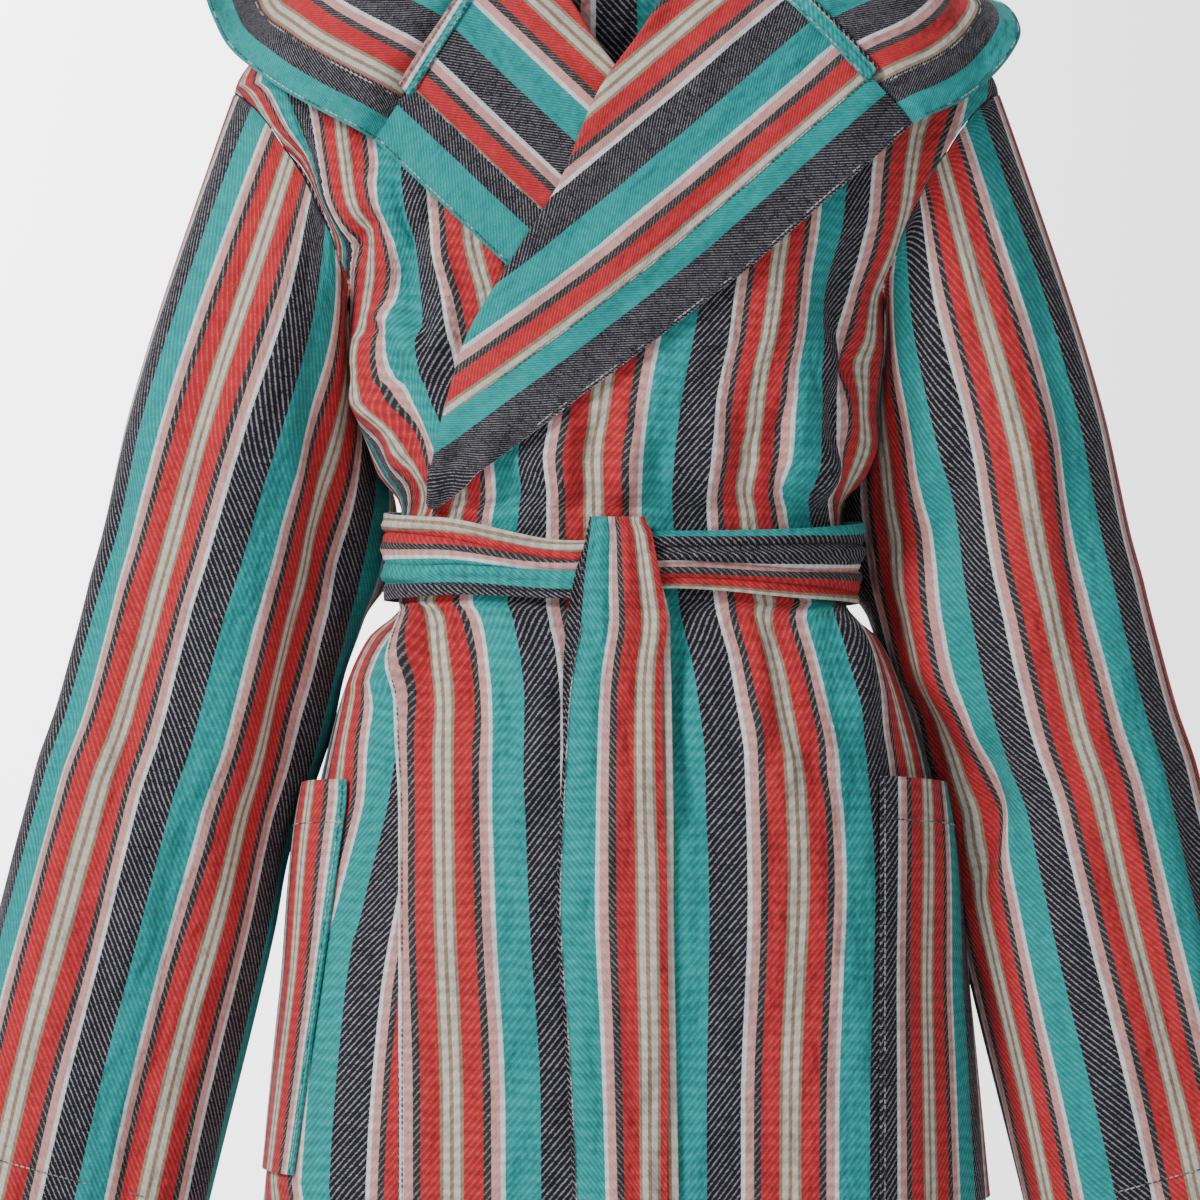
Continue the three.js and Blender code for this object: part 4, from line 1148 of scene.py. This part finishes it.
def hood_point(side, level, share, along):
    def column(name):
        return read(HOOD[side], "share", name, share)

    neck_z = np.full(share.shape, float(NECK_Z))
    neck = form(column("neck"), NECK_Z) + form_normal(column("neck"), neck_z) * HOOD_NECK_LEVEL
    fall = np.stack([column("fall_x"), column("fall_y"), column("fall_z")], axis=-1)
    edge = np.stack([column("edge_x"), column("edge_y"), column("edge_z")], axis=-1)
    seam_share = np.maximum(0, 1 - share / 0.2)[..., None]
    top = np.ones(3)
    seam_ends = lapel_point(side, level, np.array([0, 0.5, 1]), top) * (side, 1, 1)
    neck = mix(neck, seam_ends[0], seam_share)
    fall = mix(fall, seam_ends[1], seam_share**2)
    edge = mix(edge, seam_ends[2], seam_share**2)
    t = along[..., None]
    point = neck * (1 - 2 * t) * (1 - t) + fall * 4 * t * (1 - t) + edge * t * (2 * t - 1)
    over_front = TOP_FRONT * ease((0.3 - share) / 0.15)
    clearance = mix(HOOD_NECK_LEVEL, HOOD_CLEARANCE + over_front, ease(along / 0.04))
    point = push_clear(point, mix(0, clearance, ease(share / 0.05)))
    point[..., 0] = (point[..., 0] + SEAM_GAP / 2) * side
    return point


def hood_half(side, level, stripes, band):
    name, slot, node = sided("hood_half", side), "striped_cotton_reverse", sided("hood", side)
    piece, share, down = plain_grid(name, HOOD_COLUMNS, HOOD_ROWS)
    seam_share = mix(HOOD_SEAM_SHARE, 1, share)
    samples = np.linspace(0, 1, HOOD_SAMPLES)
    along = np.empty(len(share))
    for line in np.unique(share):
        row = share == line
        curve = hood_point(side, level, np.full(HOOD_SAMPLES, mix(HOOD_SEAM_SHARE, 1, line)), 1 - samples)
        profile = np.concatenate([[0], np.cumsum(np.linalg.norm(np.diff(curve, axis=0), axis=1))])
        along[row] = 1 - banded(down[row], profile, band)
    points = hood_point(side, level, seam_share, along)
    inwards = row_lengths(points, down, share)
    on_band = down < BAND_SPLIT + 1e-4
    out = grid_normals(points, share, down)
    out *= np.sign(out[on_band] @ np.array(UPWARDS)).mean()
    points += out * np.where(on_band, BAND_RISE, 0)[:, None]
    points[:, 0] = side * np.maximum(side * points[:, 0], SEAM_GAP / 2 + WALL / 2)
    place(piece, points / 1000)
    flat, turned = stripes(inwards)
    finish_sheet(piece, flat / 1000, share * HOOD_LENGTH, reverse_twill, band=(turned / 1000, on_band))
    for tag, distance in (("_edge_stitches", EDGE_ROW), ("_hem_stitches", band - BAND_ROW)):
        stitches(name + tag, node, points, share, inwards, distance, UPWARDS)
    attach(piece, "root")
    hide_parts(node)


def left_hood_stripes(inwards):
    return inwards - 60, mix(TEAL_END, 0, inwards / 33)


def right_hood_stripes(inwards):
    return inwards - 65, mix(TEAL_END, 2, inwards / 30)


hood_half(1, top_lapel_level, left_hood_stripes, 31)
hood_half(-1, under_lapel_level, right_hood_stripes, 30)


# Felled seam strips: a narrow strip of the twill laid over the seam between each lapel and the hood,
# topstitched down both sides.
STRIP_WIDTH = 11
STRIP_WALL = 1.2
STRIP_LIFT = 2.6
STRIP_LENGTH = 0.13
STRIP_START = 0.06
STRIP_END = 0.78
STRIP_RIDGE = 0.35
STRIP_ROW = 1.4


def seam_strip(side, level, stripe_start):
    name, slot, node = sided("seam_strip", side), "seam_strip_cotton", sided("seam", side)
    piece, share, down = plain_grid(name, 16, 70)
    across = (share - 0.5) * STRIP_WIDTH * side
    seam = lapel_point(side, level, mix(STRIP_START, STRIP_END, 1 - down), np.ones(down.shape))
    ridge = STRIP_RIDGE * np.cos((share - 0.5) * math.pi * 6)
    lift = np.array([0, -0.75, 0.66]) * (WALL / 2 + STRIP_WALL / 2 + STRIP_LIFT + ridge)[:, None]
    slant = np.array([0.62 * side, 0, 0.78])
    points = seam + lift + slant * (across * side)[:, None]
    place(piece, points / 1000)
    finish_sheet(piece, (stripe_start - across) / 1000, down * STRIP_LENGTH, right_side_twill, STRIP_WALL)
    sideways = row_lengths(points, share, down)
    for tag, distance in (("_first_stitches", STRIP_ROW), ("_second_stitches", STRIP_WIDTH - STRIP_ROW)):
        stitches(name + tag, node, points, down, sideways, distance, (0, -1, 1), lift=STRIP_WALL / 2)
    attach(piece, "root")
    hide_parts(node)


seam_strip(1, top_lapel_level, NAVY_END + 4)
seam_strip(-1, under_lapel_level, TEAL_END + 1)


# Patch pockets: one on each front near the side seam, cut from one layer of the twill and sewn down at its
# sides and bottom, with a hemmed mouth that is open at the top.
POCKETS = {
    1: {"front_top": 152, "front_bottom": 152, "rear": 106, "top": -520, "bottom": -775, "dip": 12},
    -1: {"front_top": -158, "front_bottom": -192, "rear": -107, "top": -522, "bottom": -758, "dip": 10},
}
POCKET_MOUTH = 9
POCKET_LIFT = 1.3
POCKET_LENGTH = 0.25
MOUTH_STITCH = 26


def pocket_point(sizes, level, share, down):
    z = mix(sizes["top"] - sizes["dip"] * share, sizes["bottom"], down)
    start = angle_at(mix(sizes["front_top"], sizes["front_bottom"], down), z)
    angle = mix(start, sizes["rear"], share)
    mouth = POCKET_MOUTH * np.sin(math.pi * np.clip(share, 0, 1) ** 0.7) * ease(1 - down / 0.55)
    return body_point(angle, z, level(angle, z) + WALL + POCKET_LIFT + mouth)


def pocket(side, level, stripe_start, flow):
    name, slot, node = sided("patch_pocket", side), "striped_cotton", sided("pocket", side)
    piece, share, down = plain_grid(name, 50, 80)
    down = 1 - down
    share = share if side > 0 else 1 - share
    points = pocket_point(POCKETS[side], level, share, down)
    place(piece, points / 1000)
    inwards = row_lengths(points, share, down)
    finish_sheet(piece, (stripe_start + flow * inwards) / 1000, -down * POCKET_LENGTH, right_side_twill)
    downwards = row_lengths(points, down, share)
    out = (side, -0.6, 0)
    stitches(name + "_mouth_stitches", node, points, share, downwards, MOUTH_STITCH, out)
    stitches(name + "_side_stitches", node, points, down, inwards, EDGE_STITCH, out)
    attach(piece, "root")
    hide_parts(node)


pocket(1, top_front_level, 12, -1)
pocket(-1, under_front_level, TEAL_END - 5, 1)


# Tie belt: a long strip of doubled twill, pulled into lengthways pleats round the waist and tied once in
# front, so that one end folds over the band and both ends hang down.
BELT_WALL = 2.8
BELT = table("angle z half", [
    (-180, -386, 30),
    (-90, -388, 27),
    (-50, -388, 23),
    (-12, -396, 17),
    (12, -390, 17),
    (50, -392, 21),
    (90, -392, 25),
    (180, -386, 30),
])
BELT_REST = 5.2
KNOT_LIFT = 4.6
KNOT_ANGLE = 17
BELT_ROUND = 0.8
TAIL_CUP = 1.2
TAIL_FOLD = 0.8
TAIL_CLOTH = 60
BELT_PLEATS = table("at width height wander phase", [
    (0.12, 0.05, 1.6, 0.05, 20),
    (0.27, 0.035, -2.2, 0.06, 130),
    (0.40, 0.05, 1.8, 0.07, 60),
    (0.55, 0.035, -2.0, 0.06, 250),
    (0.68, 0.05, 1.7, 0.05, 310),
    (0.84, 0.035, -1.8, 0.05, 170),
])
OVERFOLD = {"from": 4, "to": 120, "edge": 0.42, "height": 2.4}
TAIL_FRONT = table("z level x width", [
    (-386, 11.4, 0, 32),
    (-373, 11.4, 0, 32),
    (-369, 13.6, 0, 32),
    (-366, 19.4, 0, 33),
    (-369, 25, 0, 34),
    (-373, 27.2, 1, 37),
    (-400, 27.2, 2, 46),
    (-426, 21.4, 3, 52),
    (-450, 17, 0, 54),
    (-474, 15.5, -2, 56),
    (-540, 14.6, -3, 61),
    (-594, 14.6, -3, 65),
    (-680, 14.6, 0, 60),
    (-768, 14.6, 2, 55),
    (-880, 14.6, 4, 58),
])
TAIL_BACK = table("z level x width", [
    (-374, 23.6, -2, 30),
    (-400, 23.6, 0, 50),
    (-426, 16.4, 1, 61),
    (-450, 12.8, 0, 63),
    (-474, 11.3, 0, 64),
    (-540, 10.6, 1, 64),
    (-594, 10.6, 1, 64),
    (-680, 10.6, 3, 63),
    (-768, 11, 5, 62),
    (-905, 11, 8, 60),
])


def belt_level(angle):
    turned = np.where(angle > 180, angle - 360, angle)
    waist = float(WAIST_Z)
    edge = abs(float(angle_at(read(FRONT_EDGE, "z", "x", waist), waist)))
    on_fronts = mix(TOP_FRONT, UNDER_FRONT, ease((np.abs(turned) - edge - 6) / 22)) + WALL / 2
    return on_fronts + BELT_REST + KNOT_LIFT * np.exp(-((turned / KNOT_ANGLE) ** 4))


belt_twill = twill("belt_twill", lean=1, line=3.0, ripple=0.11)
belt_band, share, down = plain_grid("belt_band_pleated", 360, 36)
angle = share * 360 - 180
depth_share = 1 - down
half = read(BELT, "angle", "half", angle)
pleat = np.zeros(angle.shape)
for row in BELT_PLEATS:
    wander = row["at"] + row["wander"] * sine(angle * 3 + row["phase"])
    pleat += row["height"] * np.exp(-(((depth_share - wander) / row["width"]) ** 2))
folded_over = ease((angle - OVERFOLD["from"]) / 10) * ease((OVERFOLD["to"] - angle) / 40)
fold_edge = OVERFOLD["edge"] + 0.10 * sine(angle * 2)
pleat += OVERFOLD["height"] * folded_over * ease((fold_edge - depth_share) / 0.05 + 0.5)
waist = np.full(angle.shape, float(WAIST_Z))
tuck = 0.8 * np.sin(math.pi * depth_share)
lift = belt_level(angle) + tuck + BELT_WALL / 2 + pleat
points = form(angle, waist) + form_normal(angle, waist) * lift[:, None]
points[:, 2] = read(BELT, "angle", "z", angle) + mix(half, -half, depth_share)
place(belt_band, points / 1000)
on_left = ease((angle + 4) / 8)
band_u = mix(71, 26, on_left) - depth_share * mix(62, 52, on_left)
finish_sheet(belt_band, band_u / 1000, angle / 360 * BELT_ROUND, belt_twill, BELT_WALL, closed=True)
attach(belt_band, "root")
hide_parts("belt_band")


def belt_tail(name, node, rows, stripe_start, steps):
    piece, share, down = plain_grid(name, 36, steps)
    order = np.arange(len(rows), dtype=float)
    numbered = [{"row": k, **row} for k, row in enumerate(rows)]
    at = (1 - down) * order[-1]
    z = read(numbered, "row", "z", at)
    level = read(numbered, "row", "level", at)
    width = read(numbered, "row", "width", at)
    across = read(numbered, "row", "x", at) + width * (share - 0.5)
    near = np.minimum(z, WAIST_Z)
    cup = TAIL_CUP * np.cos(2 * math.pi * (share - 0.5))
    fold = TAIL_FOLD * np.cos(share * 19 + at * 0.25) * ease(at / 4)
    y = form(angle_at(across, near), near)[:, 1] - level - cup - fold
    points = np.stack([across, y, z], axis=1)
    place(piece, points / 1000)
    finish_sheet(piece, (stripe_start + share * TAIL_CLOTH) / 1000, z / 1000, belt_twill, BELT_WALL)
    sideways = row_lengths(points, share, down)
    slot, free, lift = "belt_cotton", at > 7, BELT_WALL / 2
    stitches(name + "_stitches", node, points, down, sideways, EDGE_STITCH, FORWARDS, free, lift)
    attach(piece, "root")
    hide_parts(node)


belt_tail("belt_tail_over", "belt_tail_front", TAIL_FRONT, NAVY_END - 2, 180)
belt_tail("belt_tail_behind", "belt_tail_back", TAIL_BACK, 6, 170)
